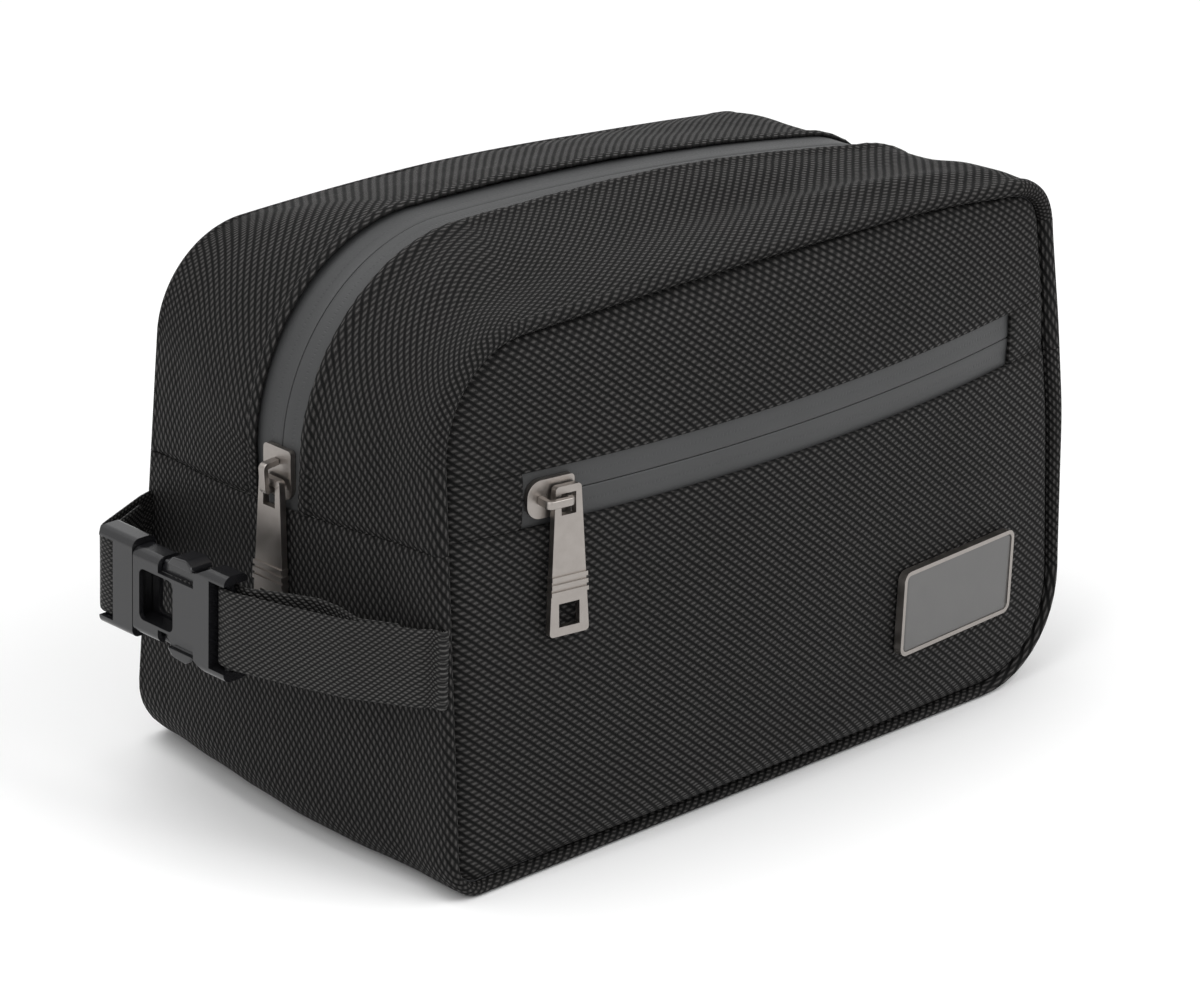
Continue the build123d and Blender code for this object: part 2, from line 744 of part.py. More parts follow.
def pull_lean(x, hang_r):
    """Lean at which the hanging pull's tail stands clear of the panel."""
    tail_z = POCKET_ZIP_Z - PULL_LENGTH
    share = (BAND_LOW - tail_z) / (BAND_LOW - BADGE_FACET_HIGH)
    band = BAND_SEAM + crown_at(FRONT_CROWN, x)
    facet = seam_y(BADGE_FACET_HIGH) + crown_at(FRONT_CROWN_MID, x)
    panel = band + share * (facet - band) + PANEL_T
    start = band + hang_r - POCKET_R - PULL_T / 2
    return asin((panel + PULL_REST - start) / PULL_LENGTH)


def pocket_slider():
    """Casting, cap and pull of the pocket zip, near its left end."""
    angle = radians(pocket_angle(POCKET_SLIDER_X))
    reach = SLIDER_LENGTH / 2
    x0 = POCKET_SLIDER_X - reach
    x1 = POCKET_SLIDER_X + reach
    plate_in = POCKET_TAPE_R + RUN_GAP
    plate_out = plate_in + PLATE_T
    z = POCKET_ZIP_Z
    w = SLIDER_W / 2
    top = pocket_sector(plate_in, plate_out, x0, x1, z - w, z + w)
    top = round_plate(top, Axis.X)
    under_out = POCKET_TAPE_R - TAPE_T - COIL_T - RUN_GAP
    under = pocket_sector(under_out - UNDER_PLATE_T, under_out, x0, x1, z - w, z + w)
    flange_out = POCKET_TAPE_R - TAPE_T - RUN_GAP
    low = pocket_sector(under_out, flange_out, x0, x1, z - w, z - w + FLANGE_W)
    high = pocket_sector(under_out, flange_out, x0, x1, z + w - FLANGE_W, z + w)
    post_x = x0 + POST_LENGTH / 2
    post = pocket_sector(
        under_out, plate_in, post_x, post_x + POST_LENGTH, z - POST_T / 2, z + POST_T / 2
    )
    save(top + under + low + high + post, "pocket_slider_body")
    seat = Plane(
        origin=(plate_out * sin(angle), POCKET_AXIS_Y - plate_out * cos(angle), z),
        x_dir=(0, 0, 1),
        z_dir=(sin(angle), -cos(angle), 0),
    )
    save(seat * bridge_arch() - top, "pocket_slider_bridge")
    leg = BRIDGE_LENGTH / 2 - BRIDGE_T / 2
    hang_r = plate_out + PULL_PLAY + PULL_T / 2
    out = Vector(sin(angle), -cos(angle), 0)
    along = Vector(cos(angle), sin(angle), 0)
    pivot = Vector(0, POCKET_AXIS_Y, z) + out * hang_r + along * leg
    lean = pull_lean(POCKET_SLIDER_X, hang_r)
    face = out * cos(lean) + Vector(0, 0, sin(lean))
    hang = Plane(origin=pivot, x_dir=along, z_dir=face)
    save(hang * Pos(0, EYE_PIVOT, 0) * pull_plate(), "pocket_zip_pull")
    print("pocket pull pivot", pivot, "axis", face)
    print("pocket track", round(POCKET_AXIS_Y, 3), round(POCKET_R, 3))


def badge_level(z):
    """Seam distance and crown of the lower panel between its badge levels."""
    share = (z - BADGE_FACET_LOW) / (BADGE_FACET_HIGH - BADGE_FACET_LOW)
    return FRONT_CROWN_LOW + share * (FRONT_CROWN_MID - FRONT_CROWN_LOW)


def panel_face_y(x, z):
    return -(seam_y(z) + crown_at(badge_level(z), x) + PANEL_T)


def badge_place(offset=0.0):
    """Place on the lower panel: local Z points out, local Y up the panel."""
    step = 1.0
    x, z = BADGE_X, BADGE_Z
    slope_x = (panel_face_y(x + step, z) - panel_face_y(x - step, z)) / (2 * step)
    slope_z = (panel_face_y(x, z + step) - panel_face_y(x, z - step)) / (2 * step)
    normal = Vector(slope_x, -1, slope_z).normalized()
    origin = Vector(x, panel_face_y(x, z), z) + normal * offset
    plane = Plane(origin=origin, x_dir=(1, slope_x, 0), z_dir=normal)
    return plane * Rot(0, 0, BADGE_TURN)


def prong_places():
    px = BADGE_W / 2 - PRONG_INSET
    pz = BADGE_H / 2 - PRONG_INSET
    return [(sx * px, sz * pz) for sx in (-1, 1) for sz in (-1, 1)]


def badge():
    place = badge_place(RUN_GAP)
    sheet = RectangleRounded(BADGE_W, BADGE_H, BADGE_R)
    frame = extrude(sheet, amount=BADGE_T)
    inner_w = BADGE_W - 2 * BADGE_RIM
    inner_h = BADGE_H - 2 * BADGE_RIM
    well = RectangleRounded(inner_w, inner_h, BADGE_R - BADGE_RIM)
    floor = BADGE_T / 2
    frame = frame - Pos(0, 0, floor) * extrude(well, amount=BADGE_T)
    through = PANEL_T + RUN_GAP + 3 * BADGE_SEAT + BACKING_T
    for x, z in prong_places():
        frame = frame + Pos(x, z, -through / 2) * Cylinder(PRONG_D / 2, through)
    save(place * frame, "badge_frame")
    fit = LAYER_GAP / 2
    inlay = RectangleRounded(inner_w - 2 * fit, inner_h - 2 * fit, BADGE_R - BADGE_RIM - fit)
    inlay = Pos(0, 0, floor) * extrude(inlay, amount=BADGE_INLAY_T)
    save(place * inlay, "badge_inlay")
    back_w = BADGE_W - 2 * BACKING_MARGIN
    back_h = BADGE_H - 2 * BACKING_MARGIN
    backing = extrude(RectangleRounded(back_w, back_h, BADGE_R), amount=BACKING_T)
    for x, z in prong_places():
        hole = Cylinder(PRONG_D / 2 + LAYER_GAP / 2, 4 * BACKING_T)
        backing = backing - Pos(x, z, 0) * hole
    depth = PANEL_T + BACKING_T + 2 * BADGE_SEAT
    save(badge_place(-depth) * backing, "badge_backing_plate")


def webbing(points, radii):
    """Flat band on edge that follows a plan path."""
    path = FilletPolyline(*points, radius=radii)
    strip = trace(path, line_width=WEB_T)
    return Pos(0, 0, WEB_Z - WEB_W / 2) * extrude(strip, amount=WEB_W)


BAR_LOOP = BAR_R + WEB_T / 2 + BAR_PLAY
BAR_BEND = BAR_LOOP * 0.98


def part_way(start, end, share_x, share_y):
    """Place between two others, at its own share of the way on each axis."""
    x = start[0] + share_x * (end[0] - start[0])
    y = start[1] + share_y * (end[1] - start[1])
    return x, y


def straps():
    """Two webbing loops, each sewn into a seam and round a buckle bar."""
    seam = seam_y(WEB_Z) - WEB_T / 2
    out_x = BUCKLE_X - BAR_LOOP
    in_x = BUCKLE_X + BAR_LOOP
    root = (-HALF_LENGTH - ROOT_GAP, -seam)
    outer = (out_x, FEMALE_BAR_Y)
    inner = (in_x, FEMALE_BAR_Y)
    front = [
        root,
        part_way(root, outer, 0.216, 0.032),
        part_way(root, outer, 0.586, 0.327),
        part_way(root, outer, 0.805, 0.626),
        part_way(root, outer, 1.0, 0.933),
        (out_x, FEMALE_BAR_Y + BAR_LOOP),
        (in_x, FEMALE_BAR_Y + BAR_LOOP),
        part_way(inner, root, 0.0, 0.074),
        part_way(inner, root, 0.178, 0.176),
        part_way(inner, root, 0.448, 0.378),
        part_way(inner, root, 0.474, 0.512),
        part_way(inner, root, 0.408, 0.676),
        part_way(inner, root, 0.687, 0.867),
    ]
    run = FEMALE_BAR_Y + seam
    away = [share * run for share in (0.05, 0.235, 0.5, 0.134)]
    home = [share * run for share in (0.05, 0.2, 0.1, 0.084, 0.05)]
    save(webbing(front, away + 2 * [BAR_BEND] + home), "front_strap")
    root = (-BACK_HALF_LENGTH - ROOT_GAP, seam)
    outer = (out_x, MALE_BAR_Y)
    inner = (in_x, MALE_BAR_Y)
    rear = [
        root,
        part_way(root, outer, 0.182, 0.084),
        part_way(root, outer, 0.866, 0.554),
        part_way(root, outer, 1.0, 0.821),
        (out_x, MALE_BAR_Y - BAR_LOOP),
        (in_x, MALE_BAR_Y - BAR_LOOP),
        part_way(inner, root, 0.0, 0.159),
        part_way(inner, root, 0.143, 0.367),
        part_way(inner, root, 0.67, 0.697),
    ]
    run = seam - MALE_BAR_Y
    away = [share * run for share in (0.149, 0.397, 0.198)]
    home = [share * run for share in (0.149, 0.248)]
    save(webbing(rear, away + 2 * [BAR_BEND] + home), "rear_strap")


def buckle_block(y0, y1, z_half, t=BUCKLE_T):
    return box(
        BUCKLE_X - t / 2, BUCKLE_X + t / 2, y0, y1, WEB_Z - z_half, WEB_Z + z_half
    )


def bar_rod(y):
    rod = Cylinder(BAR_R, 2 * (WING_HALF - POST_W / 2))
    return Pos(BUCKLE_X, y, WEB_Z) * rod


def buckle_female():
    """Socket half on the front strap, with its mouth towards the back."""
    shoulder = FEMALE_BAR_Y + BAR_LOOP + BAR_SLOT - SHOULDER_BACK
    z = WEB_Z
    profile = [
        (FEMALE_END_Y, z - WING_HALF),
        (shoulder, z - WING_HALF),
        (SIDE_NEAR_Y, z - BUCKLE_HALF),
        (MOUTH_Y, z - BUCKLE_HALF),
        (MOUTH_Y, z + BUCKLE_HALF),
        (SIDE_NEAR_Y, z + BUCKLE_HALF),
        (shoulder, z + WING_HALF),
        (FEMALE_END_Y, z + WING_HALF),
    ]
    plan = Plane(
        origin=(BUCKLE_X - BUCKLE_T / 2, 0, 0), x_dir=(0, 1, 0), z_dir=(1, 0, 0)
    )
    body = extrude(plan * make_face(Polyline(*profile, close=True)), amount=BUCKLE_T)
    body = fillet(body.edges().filter_by(Axis.Y), BUCKLE_EDGE_R)
    web_well = box(
        BUCKLE_X - BUCKLE_T,
        BUCKLE_X + BUCKLE_T,
        FEMALE_END_Y - 1,
        FEMALE_BAR_Y + BAR_LOOP + WEB_T,
        z - WING_HALF + POST_W,
        z + WING_HALF - POST_W,
    )
    body = body - web_well + bar_rod(FEMALE_BAR_Y)
    body = body - buckle_block(SIDE_NEAR_Y - CAVITY_LEAD, MOUTH_Y + 1, CAVITY_HALF, CAVITY_T)
    for side in (-1, 1):
        inner = WEB_Z + side * SPINE_HALF
        outer = WEB_Z + side * 2 * BUCKLE_HALF
        body = body - box(
            BUCKLE_X - BUCKLE_T,
            BUCKLE_X + BUCKLE_T,
            SIDE_NEAR_Y,
            SIDE_FAR_Y,
            min(inner, outer),
            max(inner, outer),
        )
    window = box(
        BUCKLE_X - BUCKLE_T,
        BUCKLE_X + BUCKLE_T,
        WINDOW_NEAR_Y,
        WINDOW_FAR_Y,
        z - WINDOW_HALF,
        z + WINDOW_HALF,
    )
    window = fillet(window.edges().filter_by(Axis.X), WINDOW_R)
    save(body - window, "buckle_female")


def buckle_male():
    """Plug half on the rear strap, without its two spring arms."""
    start = MOUTH_Y + RUN_GAP
    block_end = MALE_BAR_Y - BAR_LOOP - WEB_T / 2 - RUN_GAP
    half = WING_HALF - PLUG_STEP
    body = buckle_block(start, MALE_END_Y, half)
    body = fillet(body.edges().filter_by(Axis.Y), BUCKLE_EDGE_R)
    well = box(
        BUCKLE_X - BUCKLE_T,
        BUCKLE_X + BUCKLE_T,
        block_end,
        MALE_END_Y + 1,
        WEB_Z - half + POST_W,
        WEB_Z + half - POST_W,
    )
    rod = Pos(BUCKLE_X, MALE_BAR_Y, WEB_Z) * Cylinder(BAR_R, 2 * (WING_HALF - POST_W))
    save(body - well + rod, "buckle_male")


ARM_DZ = CAVITY_HALF - ARM_FIT - ARM_W / 2
ARM_HALF_T = CAVITY_T / 2 - ARM_FIT


def buckle_arm(side, name):
    """Spring arm with its thumb pad, above (1) or below (-1) the middle."""
    root = MOUTH_Y
    near = ARM_DZ - ARM_W / 2
    far = ARM_DZ + ARM_W / 2
    tip = SIDE_NEAR_Y + HEAD_PLAY_TIP
    heel = SIDE_FAR_Y - HEAD_PLAY_HEEL
    rise = HEAD_CROWN - CROWN_START
    thin = [
        (root, near),
        (heel, near),
        (tip, SPINE_HALF + RUN_GAP),
        (tip, CROWN_START),
        (heel - NECK, CROWN_START),
        (heel, HEAD_SHOULDER),
        (heel, far),
        (root, far),
    ]
    crown = [
        (tip, CROWN_START),
        (tip + rise / 5, HEAD_CROWN - rise / 2),
        (tip + rise, HEAD_CROWN),
        (tip + 3 * rise, HEAD_CROWN - rise / 5),
        (heel - NECK, CROWN_START),
    ]

    def slab(points, half_t):
        turned = [(y, WEB_Z + side * dz) for y, dz in points]
        plan = Plane(origin=(BUCKLE_X - half_t, 0, 0), x_dir=(0, 1, 0), z_dir=(1, 0, 0))
        face = make_face(Polyline(*turned, close=True))
        return extrude(plan * face, amount=2 * half_t)

    arm = slab(thin, ARM_HALF_T) + slab(crown, BUCKLE_T / 2 - ARM_FIT)
    save(arm, name)


gusset_parts()
flat_layers()
bindings()
panels()
pocket_zip()
main_zip()
main_slider()
pocket_slider()
badge()
straps()
buckle_female()
buckle_male()
buckle_arm(1, "buckle_arm_upper")
buckle_arm(-1, "buckle_arm_lower")
print("arm pivot", BUCKLE_X, MOUTH_Y, WEB_Z + ARM_DZ, WEB_Z - ARM_DZ)
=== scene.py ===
import math

import bpy
import numpy as np
from mathutils import Matrix, Vector


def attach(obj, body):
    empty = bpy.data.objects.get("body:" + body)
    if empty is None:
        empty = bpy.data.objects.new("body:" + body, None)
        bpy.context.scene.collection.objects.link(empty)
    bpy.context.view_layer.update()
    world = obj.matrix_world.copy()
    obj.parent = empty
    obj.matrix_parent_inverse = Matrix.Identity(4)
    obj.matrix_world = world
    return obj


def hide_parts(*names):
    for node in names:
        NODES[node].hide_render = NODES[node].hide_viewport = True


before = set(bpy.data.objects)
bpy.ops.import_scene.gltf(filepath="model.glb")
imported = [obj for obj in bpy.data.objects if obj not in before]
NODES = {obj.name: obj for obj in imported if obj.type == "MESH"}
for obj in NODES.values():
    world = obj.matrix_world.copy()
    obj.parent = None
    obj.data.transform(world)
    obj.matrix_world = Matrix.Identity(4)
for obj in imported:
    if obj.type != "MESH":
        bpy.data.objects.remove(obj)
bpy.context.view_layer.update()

# Zipped toiletry bag with a side webbing handle.
# Shapes are worked out in millimetres and written to the meshes in metres.
MM = 0.001

# Body of the bag, as the part has it
HALF_LENGTH = 127.25
DEPTH_BASE = 141.0
DEPTH_TOP = 117.0
HEIGHT = 162.5
BASE_SINK = 0.3
FRONT_CROWN_R = 6000.0
BACK_HALF = 123.0
BACK_DROP = 9.0
BACK_CROWN_R = 1300.0
RIDGE_CROWN_R = 1060.0
WAIST_Z = 99.5
WAIST_SLOPE = 0.07
PANEL_CHORD = 129.0
PANEL_T = 1.8
POCKET_Z = 114.5
POCKET_WINDOW_H = 16.8
POCKET_LEFT = -102.0
POCKET_RIGHT = 100.0
POCKET_R = 562.2
POCKET_AXIS_Y = 485.155
BAND_LOW = 104.0
BAND_HIGH = 125.0
MAIN_TAPE_HALF = 9.6
TAPE_RECESS = 1.8

# Cloth, and the rolled rim that the gusset makes round each panel
CLOTH_T = 1.0
CLOTH_ROUND = 0.35
ROLL_RISE = 2.9
ROLL_SEAT = 0.3
ROLL_ANGLES = (10, 32, 56, 80, 104, 128, 152, 172)
ROLL_FRONT_REACH = 22.0
ROLL_BACK_REACH = 14.0
GROOVE_DEPTH = 1.1
GROOVE_LAP = 0.2
ROW_STEP = 2.2

# Folded edge of a cloth over a zip tape
ZIP_EDGE = MAIN_TAPE_HALF + 0.1
HEM_RISE = 0.9
HEM_FOLD = 4.4
HEM_DIP = 0.6
HEM_WIDTH = 1.1
STITCH_DIP = 0.7
STITCH_WIDTH = 0.55
PUCKER_PITCH = 3.4

# Seam between the base gusset and the two strips
WAIST_GAP = 0.05
WAIST_DIP = 0.9
WAIST_WIDTH = 1.3
WAIST_FADE = 3.0

LEAN = (DEPTH_BASE - DEPTH_TOP) / 2 / HEIGHT
LEAN_ANGLE = math.atan2(DEPTH_BASE - DEPTH_TOP, 2 * HEIGHT)
SIN_L = math.sin(LEAN_ANGLE)
COS_L = math.cos(LEAN_ANGLE)


def seam_y(z):
    return DEPTH_BASE / 2 - LEAN * z


def circles(left, right, top_right, top_left, radii):
    """Corner circles: low left, low right, top right, top left."""
    low_left_r, low_right_r, top_right_r, top_left_r = radii
    return (
        (left + low_left_r, low_left_r - BASE_SINK, low_left_r),
        (right - low_right_r, low_right_r - BASE_SINK, low_right_r),
        (right - top_right_r, top_right - top_right_r, top_right_r),
        (left + top_left_r, top_left - top_left_r, top_left_r),
    )


FRONT = circles(-HALF_LENGTH, HALF_LENGTH, HEIGHT, HEIGHT, (11.0, 34.0, 17.0, 33.0))
BACK = circles(-BACK_HALF, BACK_HALF, HEIGHT - BACK_DROP, HEIGHT, (20.0, 20.0, 26.0, 30.0))
RIDGE = (
    (-115.5, 15.0 - BASE_SINK, 15.0),
    (116.0, 15.0 - BASE_SINK, 15.0),
    (87.0, 117.5, 44.0),
    (-72.0, 115.0, 60.0),
)


class Outline:
    """Closed curve of a panel: straight runs and arcs round four corner circles."""

    def __init__(self, corners, crown_r):
        self.corners = corners
        self.crown_r = crown_r
        right, left = corners[2], corners[3]
        reach_r = crown_r - right[2]
        reach_l = crown_r - left[2]
        dx, dz = left[0] - right[0], left[1] - right[1]
        span = math.hypot(dx, dz)
        along = (reach_r**2 - reach_l**2 + span**2) / (2 * span)
        across = math.sqrt(reach_r**2 - along**2)
        ux, uz = dx / span, dz / span
        self.centre = (
            right[0] + along * ux - across * uz,
            right[1] + along * uz + across * ux,
        )
        low_left, low_right, top_right, top_left = corners
        self.base = self.tangent(low_left, low_right)
        self.right = self.tangent(low_right, top_right)
        self.left = self.tangent(top_left, low_left)
        self.crown_start = self.unit(self.centre, top_right)
        self.crown_end = self.unit(self.centre, top_left)

    def tangent(self, first, second):
        dx, dz = second[0] - first[0], second[1] - first[1]
        angle = math.atan2(dz, dx) - math.acos((first[2] - second[2]) / math.hypot(dx, dz))
        return math.cos(angle), math.sin(angle)

    def unit(self, start, end):
        dx, dz = end[0] - start[0], end[1] - start[1]
        length = math.hypot(dx, dz)
        return dx / length, dz / length

    def arc(self, circle, start, end, t, inset):
        a = math.atan2(start[1], start[0])
        b = math.atan2(end[1], end[0])
        turn = (b - a) % (2 * math.pi)
        angle = a + turn * t
        way = (math.cos(angle), math.sin(angle))
        reach = circle[2] - inset
        return (circle[0] + reach * way[0], circle[1] + reach * way[1]), way

    def line(self, first, second, way, t, inset):
        p = [c + (first[2] - inset) * w for c, w in zip(first[:2], way)]
        q = [c + (second[2] - inset) * w for c, w in zip(second[:2], way)]
        return (p[0] + t * (q[0] - p[0]), p[1] + t * (q[1] - p[1])), way

    def at(self, part, t, inset=0.0):
        """Place and outward normal on one of the eight runs, counterclockwise from the base."""
        low_left, low_right, top_right, top_left = self.corners
        crown = (*self.centre, self.crown_r)
        if part == 0:
            return self.line(low_left, low_right, self.base, t, inset)
        if part == 1:
            return self.arc(low_right, self.base, self.right, t, inset)
        if part == 2:
            return self.line(low_right, top_right, self.right, t, inset)
        if part == 3:
            return self.arc(top_right, self.right, self.crown_start, t, inset)
        if part == 4:
            return self.arc(crown, self.crown_start, self.crown_end, t, inset)
        if part == 5:
            return self.arc(top_left, self.crown_end, self.left, t, inset)
        if part == 6:
            return self.line(top_left, low_left, self.left, t, inset)
        return self.arc(low_left, self.left, self.base, t, inset)


front_outline = Outline(FRONT, FRONT_CROWN_R)
ridge_outline = Outline(RIDGE, RIDGE_CROWN_R)
back_outline = Outline(BACK, BACK_CROWN_R)
OUTLINES = {"front": front_outline, "back": back_outline}


def on_front(p):
    return np.array((p[0], -DEPTH_BASE / 2 + p[1] * SIN_L, p[1] * COS_L))


def on_back(p):
    return np.array((p[0], DEPTH_BASE / 2 - p[1] * SIN_L, p[1] * COS_L))


def sections(part, t):
    """Places on the front seam, the ridge and the back seam at a share of one run."""
    f, r, b = (curve.at(part, t)[0] for curve in (front_outline, ridge_outline, back_outline))
    return on_front(f), np.array((r[0], 0.0, r[1])), on_back(b)


def mix3(three, v):
    """Smooth cross line through the front, ridge and back sections."""
    f, r, b = three
    return f * (1 - v) * (1 - 2 * v) + 4 * r * v * (1 - v) + b * v * (2 * v - 1)


def cross_share(three, y):
    """Share across the depth at which the cross line reaches a y."""
    yf, yb = three[0][1], three[2][1]
    a = 2 * (yf + yb)
    b = -3 * yf - yb
    c = yf - y
    if abs(a) < 1e-6:
        return -c / b
    return (-b + math.sqrt(b * b - 4 * a * c)) / (2 * a)


def waist_share(part, v, gap):
    """Share along a side run at which the waist seam crosses the cross line."""
    p = mix3(sections(part, 0.0), v)
    q = mix3(sections(part, 1.0), v)
    level_p = p[2] + WAIST_SLOPE * p[1] - WAIST_Z - gap
    level_q = q[2] + WAIST_SLOPE * q[1] - WAIST_Z - gap
    return level_p / (level_p - level_q)


def run_steps(part):
    """Number of steps that keep one run of the outline at about the row step."""
    pts = [sections(part, k / 8)[1] for k in range(9)]
    length = sum(np.linalg.norm(b - a) for a, b in zip(pts, pts[1:]))
    return max(2, round(length / ROW_STEP))


# The rolled rim round each panel: how far it stands out past the seam, and how far
# in the panel starts, at stations counted in runs of the outline.
FRONT_RIM = (
    (0.0, 0.2, 3.8),
    (1.0, 0.2, 3.6),
    (2.0, 0.5, 3.5),
    (2.45, 3.0, 3.2),
    (2.7, 1.5, 5.5),
    (3.0, -1.8, 7.5),
    (4.0, -2.4, 7.5),
    (4.08, -0.8, 5.4),
    (4.2, 0.8, 3.6),
    (4.6, 1.8, 2.8),
    (5.0, 2.4, 2.4),
    (6.0, 2.8, 1.8),
    (7.0, 2.4, 1.4),
    (8.0, 0.2, 3.8),
)
BACK_RIM = (
    (0.0, 0.2, 4.0),
    (1.0, 0.2, 4.0),
    (2.0, 0.9, 4.0),
    (2.9, 0.9, 4.0),
    (3.3, 2.2, 3.6),
    (3.7, 1.2, 3.8),
    (4.0, -0.8, 4.6),
    (4.25, -1.0, 4.6),
    (4.6, 0.5, 4.0),
    (6.0, 0.9, 4.0),
    (7.0, 0.9, 4.0),
    (8.0, 0.2, 4.0),
)


RIMS = {"front": np.array(FRONT_RIM), "back": np.array(BACK_RIM)}
RIM_BLUR = np.linspace(-0.06, 0.06, 7)


def rim(side, station):
    """How far the rim stands out past the seam, and the inset where the panel starts."""
    table = RIMS[side]
    near = (station % 8 + RIM_BLUR) % 8
    return tuple(float(np.interp(near, table[:, 0], table[:, k]).mean()) for k in (1, 2))


def row_plan(parts):
    """Rows along a wrap-around cloth: run, share of it, and whether a waist seam cuts it."""
    rows = []
    for order, part in enumerate(parts):
        n = run_steps(part)
        first, last = order == 0, order == len(parts) - 1
        for k in range(n + (1 if last else 0)):
            rows.append((part, k / n, first and part in (2, 6), last and part in (2, 6)))
    return rows


def run_share(row, v, gap):
    """Share along a run's full length for a row, at a place across the depth."""
    part, k, from_waist, to_waist = row
    if from_waist:
        w = waist_share(part, v, gap)
        return w + (1 - w) * k
    if to_waist:
        return waist_share(part, v, gap) * k
    return k


def wrap_grid(rows, shares, gap):
    """Points of a wrap-around cloth. Each share gives a cross share from a row's sections."""
    grid = []
    for row in rows:
        part, k = row[:2]
        line = []
        for s in shares:
            v = s(sections(part, k))
            t = run_share(row, v, gap)
            line.append(mix3(sections(part, t), v))
        grid.append(line)
    return np.array(grid)


def rim_frames(rows, gap, side):
    """Seam place, way out, way forward, rim reach and inset at each row."""
    curve = OUTLINES[side]
    lift, v, forward = (on_front, 0.0, -1.0) if side == "front" else (on_back, 1.0, 1.0)
    face = np.array((0.0, forward * COS_L, SIN_L))
    out = []
    for row in rows:
        part = row[0]
        t = run_share(row, v, gap)
        p, way = curve.at(part, t)
        tip = lift((p[0] + way[0], p[1] + way[1])) - lift(p)
        out.append((lift(p), tip, face, *rim(side, part + t)))
    return out


def smooth(t):
    t = np.clip(t, 0.0, 1.0)
    return t * t * (3 - 2 * t)


def ripple(p, scale, seed):
    """Repeatable soft noise from a few crossing waves."""
    x, y, z = p[..., 0] / scale, p[..., 1] / scale, p[..., 2] / scale
    total = np.zeros(x.shape)
    for k in range(4):
        a = seed * 1.7 + k * 2.4
        along_x = x * math.cos(a) * 2.1
        along_y = y * 1.9 * math.sin(a * 1.3)
        along_z = z * math.cos(a * 0.7) * 2.3
        total += np.sin(along_x + along_y + along_z + a * 3.1)
    return total / 4


def grid_normals(g):
    du = np.gradient(g, axis=0)
    dv = np.gradient(g, axis=1)
    n = np.cross(du, dv)
    return n / np.maximum(np.linalg.norm(n, axis=2, keepdims=True), 1e-9)


def arc_lengths(g, axis):
    d = np.linalg.norm(np.diff(g, axis=axis), axis=2)
    pad = [(0, 0), (0, 0)]
    pad[axis] = (1, 0)
    return np.cumsum(np.pad(d, pad), axis=axis)


SOFT_EDGE_ANGLE = math.radians(50)


def deselect():
    for o in bpy.context.selected_objects:
        o.select_set(False)


def mesh_piece(name, points, faces, uv):
    """Object at the origin from points in millimetres, with its UV in metres."""
    mesh = bpy.data.meshes.new(name)
    mesh.from_pydata([tuple(c * MM for c in p) for p in points], [], faces)
    layer = mesh.uv_layers.new(name="cloth")
    loops = np.empty(len(mesh.loops), dtype=np.int64)
    mesh.loops.foreach_get("vertex_index", loops)
    layer.data.foreach_set("uv", (np.asarray(uv)[loops] * MM).astype(np.float32).ravel())
    for poly in mesh.polygons:
        poly.use_smooth = True
    o = bpy.data.objects.new(name, mesh)
    bpy.context.scene.collection.objects.link(o)
    return o


def grid_piece(name, g, flip=False, u=None, v=None, wrap=False):
    """Cloth or band from a grid of points. Rows run along U and columns across V.
    With wrap, the columns close into a tube and its two ends are capped."""
    n, m = g.shape[:2]
    faces = []
    for i in range(n - 1):
        for j in range(m if wrap else m - 1):
            k = (j + 1) % m
            quad = (i * m + j, (i + 1) * m + j, (i + 1) * m + k, i * m + k)
            faces.append(quad[::-1] if flip else quad)
    if wrap:
        start, end = tuple(range(m)), tuple(range((n - 1) * m, n * m))[::-1]
        faces += [start[::-1], end[::-1]] if flip else [start, end]
    u = arc_lengths(g, 0)[:, m // 2, None] + np.zeros((n, m)) if u is None else u
    v = arc_lengths(g, 1) if v is None else v
    return mesh_piece(name, g.reshape(-1, 3), faces, np.stack([u, v], axis=2).reshape(-1, 2))


def apply(o, kind, **values):
    deselect()
    o.select_set(True)
    bpy.context.view_layer.objects.active = o
    m = o.modifiers.new(kind.title(), kind)
    for key, value in values.items():
        setattr(m, key, value)
    bpy.ops.object.modifier_apply(modifier=m.name)
    o.select_set(False)


def soft_edge(o, width):
    apply(
        o, "BEVEL", width=width * MM, segments=2, limit_method="ANGLE", angle_limit=SOFT_EDGE_ANGLE
    )
    for poly in o.data.polygons:
        poly.use_smooth = True


def cloth_sheet(o, rounding, finish, node):
    """Its flat width and length are in metres."""
    apply(o, "SOLIDIFY", thickness=CLOTH_T * MM, offset=-1.0, use_even_offset=False)
    soft_edge(o, rounding)
    dress(o, finish, "bag", [node])


def dress(o, finish, body, nodes):
    """Finish, body, replaced CAD nodes and material slot of a new piece."""
    o.data.materials.clear()
    o.data.materials.append(finish)
    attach(o, body)
    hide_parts(*nodes)


# Node groups for effects that several materials share
def group(name, inputs, outputs):
    tree = bpy.data.node_groups.new(name, "ShaderNodeTree")
    for label, kind, value in inputs:
        s = tree.interface.new_socket(name=label, in_out="INPUT", socket_type=kind)
        if value is not None:
            s.default_value = value
    for label, kind in outputs:
        tree.interface.new_socket(name=label, in_out="OUTPUT", socket_type=kind)
    return tree, tree.nodes.new("NodeGroupInput"), tree.nodes.new("NodeGroupOutput")


